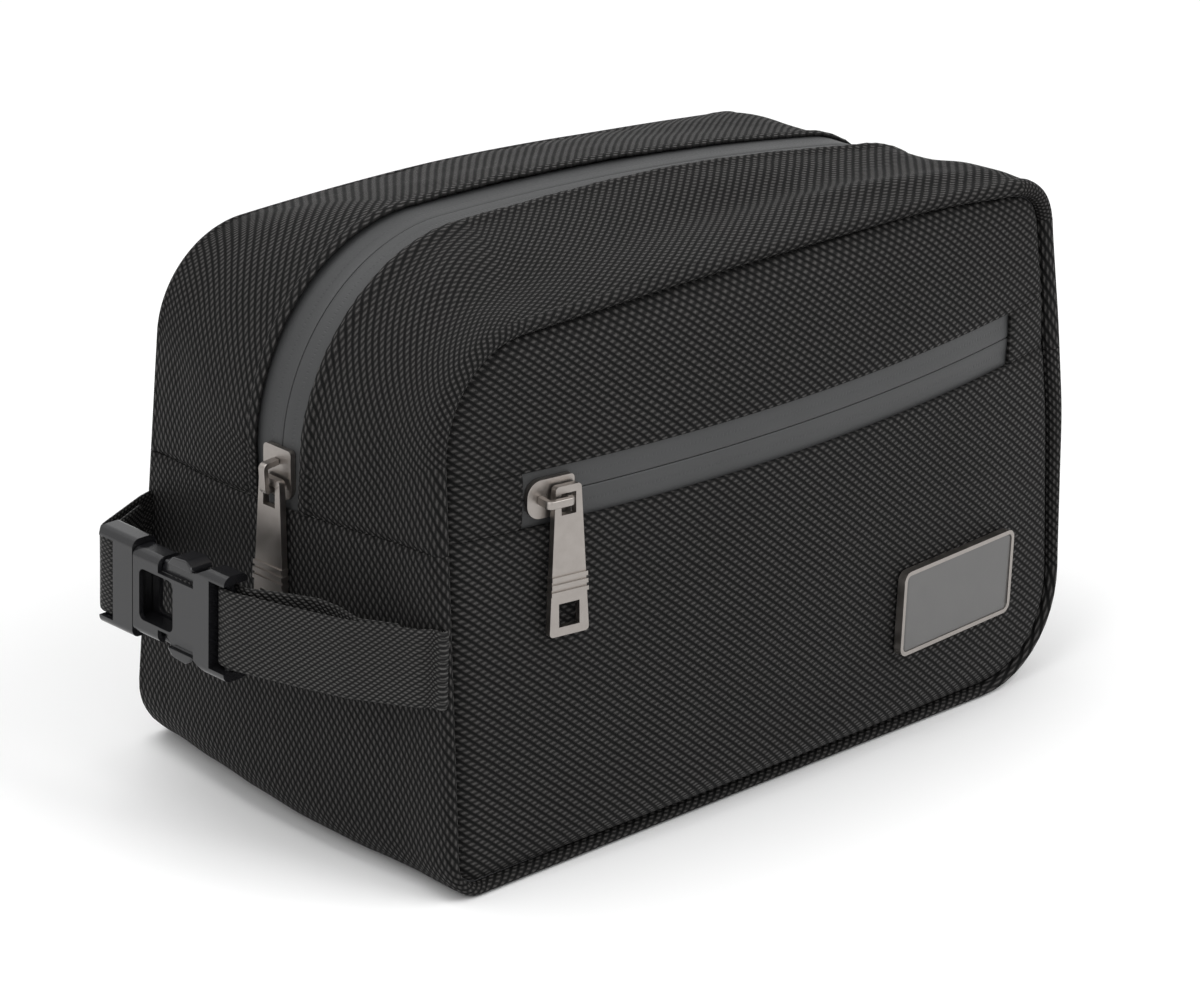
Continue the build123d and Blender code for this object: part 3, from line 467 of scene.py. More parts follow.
class Graph:
    """Short hand for adding nodes to a tree."""

    def __init__(self, tree):
        self.tree = tree

    def node(self, kind, **values):
        n = self.tree.nodes.new(kind)
        for key, value in values.items():
            setattr(n, key, value)
        return n

    def feed(self, socket, value):
        if isinstance(value, bpy.types.NodeSocket):
            self.tree.links.new(value, socket)
        elif value is not None:
            socket.default_value = value

    def math(self, operation, a, b=None, clamp=False):
        n = self.node("ShaderNodeMath", operation=operation, use_clamp=clamp)
        for socket, value in zip(n.inputs, (a, b)):
            self.feed(socket, value)
        return n.outputs[0]

    def mix(self, share, a, b):
        n = self.node("ShaderNodeMix", data_type="RGBA")
        self.feed(n.inputs[0], share)
        self.feed(n.inputs[6], a)
        self.feed(n.inputs[7], b)
        return n.outputs[2]

    def ramp(self, value, low, high, to_low=0.0, to_high=1.0):
        n = self.node("ShaderNodeMapRange", clamp=True)
        for socket, x in zip(n.inputs, (value, low, high, to_low, to_high)):
            self.feed(socket, x)
        return n.outputs[0]

    def noise(self, vector, scale, detail=3.0):
        n = self.node("ShaderNodeTexNoise")
        self.feed(n.inputs["Vector"], vector)
        n.inputs["Scale"].default_value = scale
        n.inputs["Detail"].default_value = detail
        n.inputs["Roughness"].default_value = 0.55
        return n.outputs["Fac"]


FLOAT = "NodeSocketFloat"
VECTOR = "NodeSocketVector"


def weave_group():
    """Basket weave: bumps in rows along one diagonal, crossed by the picks."""
    tree, w_in, w_out = group(
        "basket_weave",
        [
            ("Vector", VECTOR, None),
            ("Cell U", FLOAT, 0.0017),
            ("Cell V", FLOAT, 0.00124),
            ("Wander", FLOAT, 0.35),
            ("Skew", FLOAT, 0.117),
            ("Row Share", FLOAT, 0.2),
            ("Pick Share", FLOAT, 0.6),
        ],
        [("Height", FLOAT), ("Cavity", FLOAT)],
    )
    g = Graph(tree)
    split = g.node("ShaderNodeSeparateXYZ")
    g.feed(split.inputs[0], w_in.outputs["Vector"])
    drift = g.math("SUBTRACT", g.noise(w_in.outputs["Vector"], 240.0, 2.0), 0.5)
    drift = g.math("MULTIPLY", drift, w_in.outputs["Wander"])
    b = g.math("DIVIDE", split.outputs[1], w_in.outputs["Cell V"])
    a = g.math("ADD", g.math("DIVIDE", split.outputs[0], w_in.outputs["Cell U"]), drift)
    a = g.math("SUBTRACT", a, g.math("MULTIPLY", b, w_in.outputs["Skew"]))
    rows = g.math("COSINE", g.math("MULTIPLY", g.math("ADD", a, b), math.pi))
    cols = g.math("COSINE", g.math("MULTIPLY", g.math("SUBTRACT", a, b), math.pi))
    ridge = g.ramp(rows, -0.95, 0.45)
    picks = g.math("COSINE", g.math("MULTIPLY", b, 2 * math.pi))
    grain = g.math("ADD", g.math("MULTIPLY", picks, w_in.outputs["Pick Share"]), cols)
    grain = g.ramp(g.math("MULTIPLY", grain, -1.0), -1.0, 1.4)
    share = w_in.outputs["Row Share"]
    rest = g.math("SUBTRACT", 1.0, share)
    bumps = g.math("ADD", share, g.math("MULTIPLY", grain, rest))
    height = g.math("MULTIPLY", ridge, bumps)
    g.feed(w_out.inputs["Height"], height)
    # Cavity is 0 in the gaps and 1 on the threads' tops; the woven materials use it to paint shade
    # into the gaps and to set roughness.
    g.feed(w_out.inputs["Cavity"], g.ramp(height, 0.08, 0.9))
    return tree


weave = weave_group()


def material(name):
    m = bpy.data.materials.new(name)
    m.use_nodes = True
    m.node_tree.nodes.clear()
    gr = Graph(m.node_tree)
    shader = gr.node("ShaderNodeBsdfPrincipled")
    out = gr.node("ShaderNodeOutputMaterial")
    m.node_tree.links.new(shader.outputs[0], out.inputs[0])
    return m, gr, shader


def placed(gr, tree, **values):
    n = gr.node("ShaderNodeGroup")
    n.node_tree = tree
    for key, value in values.items():
        gr.feed(n.inputs[key.replace("_", " ")], value)
    return n


def bump(gr, shader, height, distance):
    n = gr.node("ShaderNodeBump")
    n.inputs["Strength"].default_value = 1.0
    n.inputs["Distance"].default_value = distance
    gr.feed(n.inputs["Height"], height)
    gr.feed(shader.inputs["Normal"], n.outputs[0])


def woven(name, gap_shade, light, cell_u, cell_v, relief, rough=(0.85, 0.5)):
    """Weave of cells of a size in metres. Its colour goes from painted shade in its gaps to its
    threads' tone, with random tone from patches and fibres, and its roughness goes from its gaps'
    to its threads'.
    """
    m, gr, shader = material(name)
    uv = gr.node("ShaderNodeUVMap", uv_map="cloth").outputs[0]
    w = placed(gr, weave, Vector=uv, Cell_U=cell_u, Cell_V=cell_v)
    patch = gr.noise(uv, 18.0, 2.0)
    fibre = gr.noise(uv, 3000.0, 2.0)
    # Painted shade: the base colour falls to the gap colour in the weave's gaps by the cavity
    # mask, times random patch and fibre tone.
    shade = gr.math("MULTIPLY", w.outputs["Cavity"], gr.ramp(patch, 0.3, 0.7, 0.82, 1.0))
    shade = gr.math("MULTIPLY", shade, gr.ramp(fibre, 0.25, 0.75, 0.55, 1.3), clamp=True)
    gr.feed(shader.inputs["Base Color"], gr.mix(shade, (*gap_shade, 1), (*light, 1)))
    gr.feed(shader.inputs["Roughness"], gr.ramp(w.outputs["Cavity"], 0.0, 1.0, *rough))
    shader.inputs["Specular IOR Level"].default_value = WEAVE_SHINE
    total = gr.math("ADD", w.outputs["Height"], gr.math("MULTIPLY", fibre, 0.15))
    bump(gr, shader, total, relief)
    return m


def grey(tone):
    return tone, tone, tone


WEAVE_SHINE = 0.14
# Each weave's first colour is the painted shade at the bottom of its gaps; the second is its
# threads' tone.
fabric = woven(
    "black_ballistic_weave", grey(0.0012), (0.054, 0.0515, 0.050), 0.00169, 0.00122, 0.00055
)
lining_cloth = woven(
    "grey_lining_twill", (0.05, 0.05, 0.052), (0.09, 0.09, 0.095), 0.0006, 0.0005, 0.00012
)
binding_cloth = woven("black_binding_tape", grey(0.003), grey(0.02), 0.0009, 0.0006, 0.0002)

TAPE_STITCH_PITCH = 0.0014
TAPE_STITCH_OFF = 0.0042
TAPE_STITCH_HALF = 0.0007


def tape_material():
    """Coated tape with a faint row of stitches on each side of the coil."""
    m, gr, shader = material("coated_zip_tape")
    uv = gr.node("ShaderNodeUVMap", uv_map="cloth").outputs[0]
    split = gr.node("ShaderNodeSeparateXYZ")
    gr.feed(split.inputs[0], uv)
    grain = gr.noise(uv, 1400.0, 3.0)
    patch = gr.noise(uv, 30.0, 2.0)
    across = gr.math("ABSOLUTE", split.outputs[1])
    turn = gr.math("MULTIPLY", split.outputs[0], 2 * math.pi / TAPE_STITCH_PITCH)
    row = gr.math("SINE", turn)
    near = gr.math("ABSOLUTE", gr.math("SUBTRACT", across, TAPE_STITCH_OFF))
    line = gr.ramp(near, 0.0, TAPE_STITCH_HALF, 1.0, 0.0)
    dots = gr.math("MULTIPLY", line, gr.ramp(row, 0.2, 1.0))
    patch = gr.math("MULTIPLY", patch, 0.6)
    tone = gr.math("ADD", patch, gr.math("MULTIPLY", grain, 0.4), clamp=True)
    tint = gr.mix(tone, (0.022, 0.0225, 0.023, 1), (0.040, 0.041, 0.042, 1))
    gr.feed(shader.inputs["Base Color"], tint)
    gr.feed(shader.inputs["Roughness"], gr.ramp(grain, 0.3, 0.7, 0.5, 0.64))
    total = gr.math("ADD", gr.math("MULTIPLY", grain, 0.35), gr.math("MULTIPLY", dots, -0.8))
    bump(gr, shader, total, 0.00012)
    shader.inputs["Specular IOR Level"].default_value = 0.4
    return m


tape = tape_material()


def metal(name, low, high, rough):
    m, gr, shader = material(name)
    at = gr.node("ShaderNodeTexCoord").outputs["Object"]
    patch = gr.noise(at, 300.0, 3.0)
    gr.feed(shader.inputs["Base Color"], gr.mix(patch, (*low, 1), (*high, 1)))
    gr.feed(shader.inputs["Roughness"], gr.ramp(patch, 0.3, 0.7, rough - 0.06, rough + 0.06))
    shader.inputs["Metallic"].default_value = 1.0
    bump(gr, shader, gr.noise(at, 5000.0, 2.0), 0.00003)
    return m


def plastic(name, low, high, rough):
    m, gr, shader = material(name)
    at = gr.node("ShaderNodeTexCoord").outputs["Object"]
    fine = gr.noise(at, 3200.0, 2.0)
    gr.feed(shader.inputs["Base Color"], gr.mix(gr.noise(at, 120.0, 2.0), (*low, 1), (*high, 1)))
    gr.feed(shader.inputs["Roughness"], gr.ramp(fine, 0.3, 0.7, rough - 0.05, rough + 0.05))
    bump(gr, shader, fine, 0.00002)
    return m


gunmetal = metal("satin_gunmetal", (0.24, 0.22, 0.205), (0.33, 0.305, 0.285), 0.34)
buckle_plastic = plastic(
    "black_buckle_plastic", (0.006, 0.006, 0.007), (0.010, 0.010, 0.011), 0.2
)
enamel = plastic("grey_badge_enamel", (0.070, 0.069, 0.068), (0.085, 0.083, 0.081), 0.38)
coil_nylon = plastic("dark_coil_nylon", grey(0.004), grey(0.007), 0.6)
foam_sheet = plastic("foam_sheet", (0.45, 0.45, 0.43), (0.55, 0.55, 0.53), 0.85)
# The webbing's first colour is the painted shade in its gaps; the second is its threads' tone.
webbing_cloth = woven(
    "dark_webbing", grey(0.002), (0.075, 0.073, 0.070), 0.0011, 0.00078, 0.00025, (0.6, 0.42)
)


# Gusset cloths
def across_range(first, last, count):
    """Even cross shares between two ends, each end a share or a y."""

    def make(k):
        def share(three):
            a = first if abs(first) <= 1 else cross_share(three, first)
            b = last if abs(last) <= 1 else cross_share(three, last)
            return a + (b - a) * k / count

        return share

    return [make(k) for k in range(count + 1)]


def rolled(rows, gap, side):
    """Columns of the roll that the gusset makes round a seam, from the gusset inwards."""
    frames = rim_frames(rows, gap, side)
    columns = []
    for angle in ROLL_ANGLES:
        a = math.radians(angle)
        line = []
        for seat, way, face, reach, inset in frames:
            middle, half = (reach - inset) / 2, (reach + inset) / 2
            place = seat + way * (middle + half * math.cos(a))
            line.append(place + face * (ROLL_SEAT + ROLL_RISE * math.sin(a)))
        columns.append(line)
    line = []
    for seat, way, face, _, inset in frames:
        line.append(seat - way * (inset + GROOVE_LAP) - face * GROOVE_DEPTH)
    columns.append(line)
    return np.array(columns).transpose(1, 0, 2)


BAG_MIDDLE = np.array((0.0, 0.0, 80.0))


def outward(g):
    """Sign that turns the grid's normals away from the middle of the bag."""
    return 1.0 if float((grid_normals(g) * (g - BAG_MIDDLE)).sum()) > 0 else -1.0


def gusset_cloth(name, node, parts, shares, gap, rolls, wrinkle):
    """Cloth that wraps the sides. It rolls over the seams of the sides in rolls, and its
    other long edges are hems."""
    rows = row_plan(parts)
    g = wrap_grid(rows, shares, gap)
    sign = outward(g)
    n = grid_normals(g) * sign
    from_front = arc_lengths(g, 1)
    from_back = from_front[:, -1:] - from_front
    edges = (("front", from_front, ROLL_FRONT_REACH), ("back", from_back, ROLL_BACK_REACH))
    for side, edge, fade in edges:
        if side in rolls:
            reach = np.array([f[3] for f in rim_frames(rows, gap, side)])[:, None]
            g = g + n * (reach * smooth(1 - edge / fade))[..., None]
    for side, edge, _ in edges:
        if side not in rolls:
            g = g + n * hem(edge, g)[..., None]
    g = g + n * wrinkle(g, from_front)[..., None]
    along = arc_lengths(g, 0)
    from_waist = np.minimum(along, along[-1:] - along)
    seam = WAIST_DIP * np.exp(-((from_waist / WAIST_WIDTH) ** 2))
    seam = seam * smooth(from_front / WAIST_FADE) * smooth(from_back / WAIST_FADE)
    g = g - n * seam[..., None]
    if "front" in rolls:
        g = np.concatenate([rolled(rows, gap, "front")[:, ::-1], g], axis=1)
    if "back" in rolls:
        g = np.concatenate([g, rolled(rows, gap, "back")], axis=1)
    g[..., 2] = np.maximum(g[..., 2], 0.0)
    o = grid_piece(name, g, flip=sign < 0)
    cloth_sheet(o, CLOTH_ROUND, fabric, node)


def hem(edge, g):
    """Rise of a folded edge over the zip tape, with its row of stitches."""
    fold = HEM_RISE * smooth((HEM_FOLD + 0.6 - edge) / 1.2)
    stitch = STITCH_DIP * np.exp(-(((edge - HEM_FOLD - 0.4) / STITCH_WIDTH) ** 2))
    puckers = 0.12 * np.sin(arc_lengths(g, 0) * 2 * math.pi / PUCKER_PITCH)
    puckers = puckers * smooth(1 - edge / 6.0)
    return fold - stitch + puckers - HEM_DIP * np.exp(-((edge / HEM_WIDTH) ** 2))


def mound(g, x, y, wide, deep, height, turn):
    """Soft rise or dip centred at a place seen from above, in the top of the bag only."""
    dx, dy = g[..., 0] - x, g[..., 1] - y
    along = dx * math.cos(turn) + dy * math.sin(turn)
    off = dy * math.cos(turn) - dx * math.sin(turn)
    shape = np.exp(-((along / wide) ** 2) - (off / deep) ** 2)
    return height * shape * smooth((g[..., 2] - 118.0) / 25.0)


# Rises and dips of the strips: place, half length, half width, height and turn
FRONT_MOUNDS = (
    (10.0, -14.0, 62.0, 10.0, 1.5, 0.0),
    (18.0, -34.0, 46.0, 8.5, -2.8, 0.06),
    (84.0, -27.0, 34.0, 12.0, -1.7, 0.0),
    (66.0, -46.5, 42.0, 5.5, 2.0, -0.12),
    (-82.0, -40.0, 20.0, 9.0, -1.6, 0.5),
    (-96.0, -27.0, 16.0, 7.0, 1.0, 0.4),
)
REAR_MOUNDS = (
    (104.0, 42.0, 26.0, 16.0, 1.8, 0.0),
    (66.0, 40.0, 30.0, 14.0, -1.2, 0.0),
    (-20.0, 36.0, 40.0, 10.0, -1.0, 0.0),
)


def waves(g):
    """Small waves all over a cloth."""
    return 0.35 * ripple(g, 22.0, 1.0) + 0.15 * ripple(g, 7.0, 2.0)


def base_set(g, _):
    return waves(g)


def front_set(g, from_seam):
    """The front strip stands up beside the zip and dips behind a long crease."""
    mounds = sum(mound(g, *row) for row in FRONT_MOUNDS)
    return waves(g) + smooth(from_seam / 9.0) * mounds


def rear_set(g, _):
    """The rear strip rises at its right end and sags a little before it."""
    return waves(g) + sum(mound(g, *row) for row in REAR_MOUNDS)


BASE_RUNS = (6, 7, 0, 1, 2)
STRIP_RUNS = (2, 3, 4, 5, 6)
gusset_cloth(
    "base_gusset_cloth", "base_gusset", BASE_RUNS, across_range(0.0, 1.0, 62), -WAIST_GAP,
    ("front", "back"), base_set,
)
gusset_cloth(
    "gusset_front_cloth", "gusset_front_strip", STRIP_RUNS, across_range(0.0, -ZIP_EDGE, 34),
    WAIST_GAP, ("front",), front_set,
)
gusset_cloth(
    "gusset_rear_cloth", "gusset_rear_strip", STRIP_RUNS, across_range(ZIP_EDGE, 1.0, 34),
    WAIST_GAP, ("back",), rear_set,
)


# Front and back panels: how far the middle of each stands out at a height
POCKET_RISE = 15.0
LEVELS_FRONT = (
    (0.0, seam_y(0.0) + 0.6),
    (16.0, seam_y(16.0) + 9.5),
    (56.0, seam_y(56.0) + 13.5),
    (BAND_LOW, seam_y(POCKET_Z) + POCKET_RISE),
    (BAND_HIGH, seam_y(POCKET_Z) + POCKET_RISE),
    (140.0, seam_y(140.0) + 11.5),
    (153.0, seam_y(153.0) + 6.5),
    (HEIGHT, seam_y(HEIGHT) + 0.6),
)
LEVELS_BACK = (
    (0.0, seam_y(0.0) + 0.6),
    (16.0, seam_y(16.0) + 4.4),
    (56.0, seam_y(56.0) + 7.0),
    (BAND_LOW, seam_y(BAND_LOW) + 7.0),
    (140.0, seam_y(140.0) + 5.4),
    (HEIGHT, seam_y(HEIGHT) + 0.6),
)


def level_curve(levels, z):
    """Smooth height curve through the levels that never overshoots."""
    zs = np.array([p[0] for p in levels])
    ys = np.array([p[1] for p in levels])
    h = np.diff(zs)
    d = np.diff(ys) / h
    m = np.zeros(len(zs))
    for k in range(1, len(zs) - 1):
        if d[k - 1] * d[k] > 0:
            w1, w2 = 2 * h[k] + h[k - 1], h[k] + 2 * h[k - 1]
            m[k] = (w1 + w2) / (w1 / d[k - 1] + w2 / d[k])
    m[0], m[-1] = d[0], d[-1]
    z = np.clip(z, zs[0], zs[-1])
    k = np.clip(np.searchsorted(zs, z, side="right") - 1, 0, len(zs) - 2)
    t = (z - zs[k]) / h[k]
    a, b = ys[k], ys[k + 1]
    return (
        a * (2 * t**3 - 3 * t**2 + 1)
        + m[k] * h[k] * (t**3 - 2 * t**2 + t)
        + b * (-2 * t**3 + 3 * t**2)
        + m[k + 1] * h[k] * (t**3 - t**2)
    )


def panel_out(levels, x, z):
    """How far the outer face of a panel stands from the middle."""
    top = level_curve(levels, z)
    rise = top - seam_y(np.clip(z, 0, HEIGHT))
    in_band = (z > BAND_LOW) & (z < BAND_HIGH)
    rise = np.where(in_band & (levels is LEVELS_FRONT), POCKET_RISE, rise)
    base = top - rise
    rise = np.maximum(rise, 0.05)
    radius = (PANEL_CHORD**2 + rise**2) / (2 * rise)
    x = np.clip(x, -PANEL_CHORD, PANEL_CHORD)
    return base + np.sqrt(radius**2 - x**2) - (radius - rise) + PANEL_T


def groove_line(side, start, end, count=160):
    """Where the panel meets its rim, between two stations of the outline."""
    curve = OUTLINES[side]
    pts = []
    for s in np.linspace(start, end, count):
        turn = s % 8
        part = min(7, int(turn))
        pts.append(curve.at(part, turn - part, rim(side, s)[1])[0])
    return np.array(pts)


def crossing(side, start, end, z):
    """Station between two others at which the groove is at a height."""
    for _ in range(50):
        middle = (start + end) / 2
        low, mid = (groove_line(side, s, s, 1)[0][1] for s in (start, middle))
        if (low - z) * (mid - z) <= 0:
            end = middle
        else:
            start = middle
    return start


def at_shares(pts, shares):
    """Places along a line of points at shares of its length."""
    length = np.concatenate([[0], np.cumsum(np.linalg.norm(np.diff(pts, axis=0), axis=1))])
    places = np.asarray(shares) * length[-1]
    return np.stack([np.interp(places, length, pts[:, k]) for k in range(2)], axis=1)


def patch(bottom, top, left, right, us, vs):
    """Grid of places inside four lines, rows going up and columns going right."""
    b, t = at_shares(bottom, us), at_shares(top, us)
    l, r = at_shares(left, vs), at_shares(right, vs)
    u, v = us[None, :, None], vs[:, None, None]
    flat = (1 - v) * b[None] + v * t[None] + (1 - u) * l[:, None] + u * r[:, None]
    corners = (1 - u) * (1 - v) * b[0] + u * (1 - v) * b[-1] + (1 - u) * v * t[0] + u * v * t[-1]
    return flat - corners


def from_edge(side, x, z):
    """Distance inwards from the groove round a panel."""
    pts = groove_line(side, 0, 8, 400)[:-1]
    d = np.roll(pts, -1, axis=0) - pts
    p = np.stack([x, z], axis=-1)[..., None, :]
    t = np.clip(((p - pts) * d).sum(-1) / np.maximum((d * d).sum(-1), 1e-9), 0, 1)
    return np.sqrt(((p - pts - t[..., None] * d) ** 2).sum(-1)).min(-1)


# Where the front panel keeps still for the badge and the pocket zip
BADGE_PLACE = (69.5, 43.5)
BADGE_CALM = (42.0, 26.0)
POCKET_CALM = 11.0
POCKET_FADE = 12.0
LIP = 7.0


def panel_cloth(name, side, places, node, hems=()):
    """A cloth of the front or back panel on places of its seam plane, filled from behind."""
    x, zz = places[..., 0], places[..., 1]
    levels, forward = (LEVELS_FRONT, -1) if side == "front" else (LEVELS_BACK, 1)
    d = from_edge(side, x, zz)
    z = zz * COS_L
    groove = seam_y(z) - GROOVE_DEPTH
    full = panel_out(levels, x, z)
    p = np.stack([x, zz * 0, z], axis=-1)
    quiet = 1.0
    if side == "front":
        (badge_x, badge_z), (wide, high) = BADGE_PLACE, BADGE_CALM
        spread = ((x - badge_x) / wide) ** 2 + ((z - badge_z) / high) ** 2
        quiet = smooth((np.abs(z - POCKET_Z) - POCKET_CALM) / POCKET_FADE)
        quiet = quiet * (1 - np.exp(-(spread**2)))
    swell = 0.5 * ripple(p, 30.0, 4.0) + 0.25 * ripple(p, 11.0, 5.0)
    full = full + smooth(d / 25.0) * quiet * swell
    for axis, at in hems:
        gap = (x if axis == "x" else z) - at
        full = full - HEM_DIP * np.exp(-((gap / HEM_WIDTH) ** 2))
    out = groove + (full - groove) * np.sqrt(1 - (1 - np.clip(d / LIP, 0, 1)) ** 2)
    g = np.stack([x, forward * out, z], axis=-1)
    o = grid_piece(name, g, flip=forward < 0, u=x, v=zz)
    cloth_sheet(o, CLOTH_ROUND, fabric, node)


def closer(n):
    """Shares from 0 to 1, closer together at both ends."""
    return (1 - np.cos(np.pi * np.linspace(0, 1, n + 1))) / 2


ZIP_LOW = POCKET_Z - POCKET_WINDOW_H / 2
ZIP_HIGH = POCKET_Z + POCKET_WINDOW_H / 2
TAB_LAP = 0.1


def level_stations(z):
    """Stations on the left and right side of the front at which the groove is at a height."""
    return crossing("front", 6, 7, z), crossing("front", 2, 3, z)


def front_cloths():
    """The two cuts of the front panel, below and above the band of the pocket zip."""
    left, right = level_stations(ZIP_LOW / COS_L)
    lower = patch(
        groove_line("front", -0.5, 1.5, 400),
        np.array([groove_line("front", s, s, 1)[0] for s in (left, right)]),
        groove_line("front", 7.5, left),
        groove_line("front", 1.5, right),
        closer(120),
        closer(76),
    )
    panel_cloth("front_lower_cloth", "front", lower, "front_panel_lower", [("z", ZIP_LOW)])
    top_edge = ZIP_HIGH + TAB_LAP
    left, right = level_stations(top_edge / COS_L)
    upper = patch(
        np.array([groove_line("front", s, s, 1)[0] for s in (left, right)]),
        groove_line("front", 5.5, 3.5, 400),
        groove_line("front", left, 5.5),
        groove_line("front", right, 3.5),
        closer(120),
        closer(44),
    )
    panel_cloth("front_upper_cloth", "front", upper, "front_panel_upper", [("z", top_edge)])


def tab_cloths():
    """The short cuts that fill the band between each end of the pocket zip and the seam."""
    bottom, top = (ZIP_LOW + TAB_LAP) / COS_L, ZIP_HIGH / COS_L
    (left_low, right_low), (left_high, right_high) = level_stations(bottom), level_stations(top)
    for name, node, seam, zip_x, columns in (
        ("pocket_start_cloth", "pocket_zip_start_tab", (left_low, left_high), POCKET_LEFT, 22),
        ("pocket_end_cloth", "pocket_zip_end_tab", (right_low, right_high), POCKET_RIGHT, 18),
    ):
        sides = [
            groove_line("front", *seam, 40),
            np.array([[zip_x, bottom], [zip_x, top]]),
        ]
        if zip_x == POCKET_RIGHT:
            sides.reverse()
        left, right = sides
        places = patch(
            np.array([left[0], right[0]]),
            np.array([left[-1], right[-1]]),
            left,
            right,
            closer(columns),
            closer(18),
        )
        panel_cloth(name, "front", places, node, [("z", ZIP_LOW), ("z", ZIP_HIGH), ("x", zip_x)])


front_cloths()
tab_cloths()
back = patch(
    groove_line("back", -0.5, 1.5, 400),
    groove_line("back", 5.5, 3.5, 400),
    groove_line("back", 7.5, 5.5, 400),
    groove_line("back", 1.5, 3.5, 400),
    closer(110),
    closer(80),
)
panel_cloth("back_cloth", "back", back, "back_panel")


# Zip tapes
TAPE_ROUND = 0.25
TAPE_BEND = 6.0
SLIT_HALF = 0.02
TAPE_LOW_Z = 95.0
MAIN_TAPE_LAP = 2.5
POCKET_TAPE_LAP = 4.3
POCKET_TAPE_END = 4.5
POCKET_TAPE_SINK = 0.1
# Runs of the ridge under the main zip, with the share of each from and to, and its rows
MAIN_ZIP_RUNS = (
    (6, 0.42, 0.0, 18),
    (5, 1.0, 0.0, 44),
    (4, 1.0, 0.0, 70),
    (3, 1.0, 0.0, 26),
    (2, 1.0, 0.78, 9),
)


def tape_columns(side, reach, count):
    """Places across half a tape, from the slit to the edge under the cloth."""
    outer = np.linspace(TAPE_BEND, reach, count)[1:]
    return side * np.concatenate([np.linspace(SLIT_HALF, TAPE_BEND, 11), outer])


def tape_hump(off):
    """Rise of a tape over its coil, with a drop where the two tapes meet."""
    drop = smooth((0.8 - abs(off)) / 0.8)
    return 0.25 * math.exp(-((abs(off) / 4.2) ** 4)) - 0.22 * drop


def tape_piece(name, node, points, side, columns):
    g = np.array(points)
    o = grid_piece(name, g, flip=side < 0, v=np.broadcast_to(columns, g.shape[:2]))
    cloth_sheet(o, TAPE_ROUND, tape, node)


def main_tape(name, node, side):
    columns = tape_columns(side, MAIN_TAPE_HALF + MAIN_TAPE_LAP, 9)
    points = []
    for order, (part, first, last, count) in enumerate(MAIN_ZIP_RUNS):
        for t in np.linspace(first, last, count)[1 if order else 0 :]:
            (x, z), way = ridge_outline.at(part, t, TAPE_RECESS)
            if z >= TAPE_LOW_Z:
                humps = [(y, tape_hump(y)) for y in columns]
                points.append([(x + way[0] * h, y, z + way[1] * h) for y, h in humps])
    tape_piece(name, node, points, side, columns)


def pocket_tape(name, node, side):
    columns = tape_columns(side, POCKET_WINDOW_H / 2 + POCKET_TAPE_LAP, 6)
    points = []
    for x in np.linspace(POCKET_LEFT - POCKET_TAPE_END, POCKET_RIGHT + POCKET_TAPE_END, 100):
        a = math.asin(x / POCKET_R)
        line = []
        for dz in columns:
            r = POCKET_R - POCKET_TAPE_SINK + tape_hump(dz)
            line.append((r * math.sin(a), POCKET_AXIS_Y - r * math.cos(a), POCKET_Z + dz))
        points.append(line)
    tape_piece(name, node, points, side, columns)


main_tape("main_tape_front_cloth", "main_zip_tape_front", -1)
main_tape("main_tape_rear_cloth", "main_zip_tape_rear", 1)
pocket_tape("pocket_tape_lower_cloth", "pocket_zip_tape_lower", -1)
pocket_tape("pocket_tape_upper_cloth", "pocket_zip_tape_upper", 1)


# Webbing straps
WEB_T = 1.4
WEB_W = 24.0
WEB_Z = 71.0
BUCKLE_X = -154.0
BAR_LOOP = 2.5
FRONT_BAR_Y = -5.0
REAR_BAR_Y = 44.4
SELVEDGE = 0.7
ARC_STEP = 0.8
RUN_STEP = 1.6


def rounded_path(points, radii):
    """Plan path with an arc at each corner, sampled at about even steps."""
    p = [np.array(q, float) for q in points]
    path = [p[0]]
    for k in range(1, len(p) - 1):
        a, b, c = p[k - 1], p[k], p[k + 1]
        u = (a - b) / np.linalg.norm(a - b)
        w = (c - b) / np.linalg.norm(c - b)
        half = math.acos(max(-1, min(1, float(u @ w)))) / 2
        cut = radii[k - 1] / math.tan(half)
        start, end = b + u * cut, b + w * cut
        centre = b + (u + w) / np.linalg.norm(u + w) * (radii[k - 1] / math.sin(half))
        a0 = math.atan2(*(start - centre)[::-1])
        a1 = math.atan2(*(end - centre)[::-1])
        turn = (a1 - a0 + math.pi) % (2 * math.pi) - math.pi
        n = max(2, int(abs(turn) * radii[k - 1] / ARC_STEP) + 2)
        for i in range(n + 1):
            angle = a0 + turn * i / n
            path.append(centre + radii[k - 1] * np.array((math.cos(angle), math.sin(angle))))
    path.append(p[-1])
    dense = [path[0]]
    for a, b in zip(path, path[1:]):
        length = np.linalg.norm(b - a)
        n = max(1, round(length / RUN_STEP))
        dense += [a + (b - a) * i / n for i in range(1, n + 1)]
    apart = [q for q, last in zip(dense[1:], dense) if np.linalg.norm(q - last) > 0.05]
    return np.array([dense[0], *apart])


def strap(name, path, node):
    """Flat webbing on edge along a plan path, with thick selvedges and a slight hollow."""
    tangent = np.gradient(path, axis=0)
    tangent /= np.linalg.norm(tangent, axis=1, keepdims=True)
    side = np.stack([-tangent[:, 1], tangent[:, 0]], axis=1)
    half, t = WEB_W / 2, WEB_T / 2
    profile = []
    for k in range(13):
        s = -1 + 2 * k / 12
        profile.append((t * (0.92 + 0.08 * s * s), s * (half - SELVEDGE)))
    profile += [(t * 0.6, half - 0.2), (0.0, half), (-t * 0.6, half - 0.2)]
    ring = np.array(profile + [(-a, -b) for a, b in profile])
    n = len(path)
    g = np.zeros((n, len(ring), 3))
    g[..., :2] = path[:, None, :] + side[:, None, :] * ring[None, :, 0, None]
    g[..., 2] = WEB_Z + ring[None, :, 1]
    v = np.broadcast_to(ring[:, 1], g.shape[:2])
    o = grid_piece(name, g, flip=True, v=v, wrap=True)
    apply(o, "SUBSURF", levels=1, render_levels=1)
    dress(o, webbing_cloth, "bag", [node])


def part_way(start, end, share_x, share_y):
    return start[0] + share_x * (end[0] - start[0]), start[1] + share_y * (end[1] - start[1])


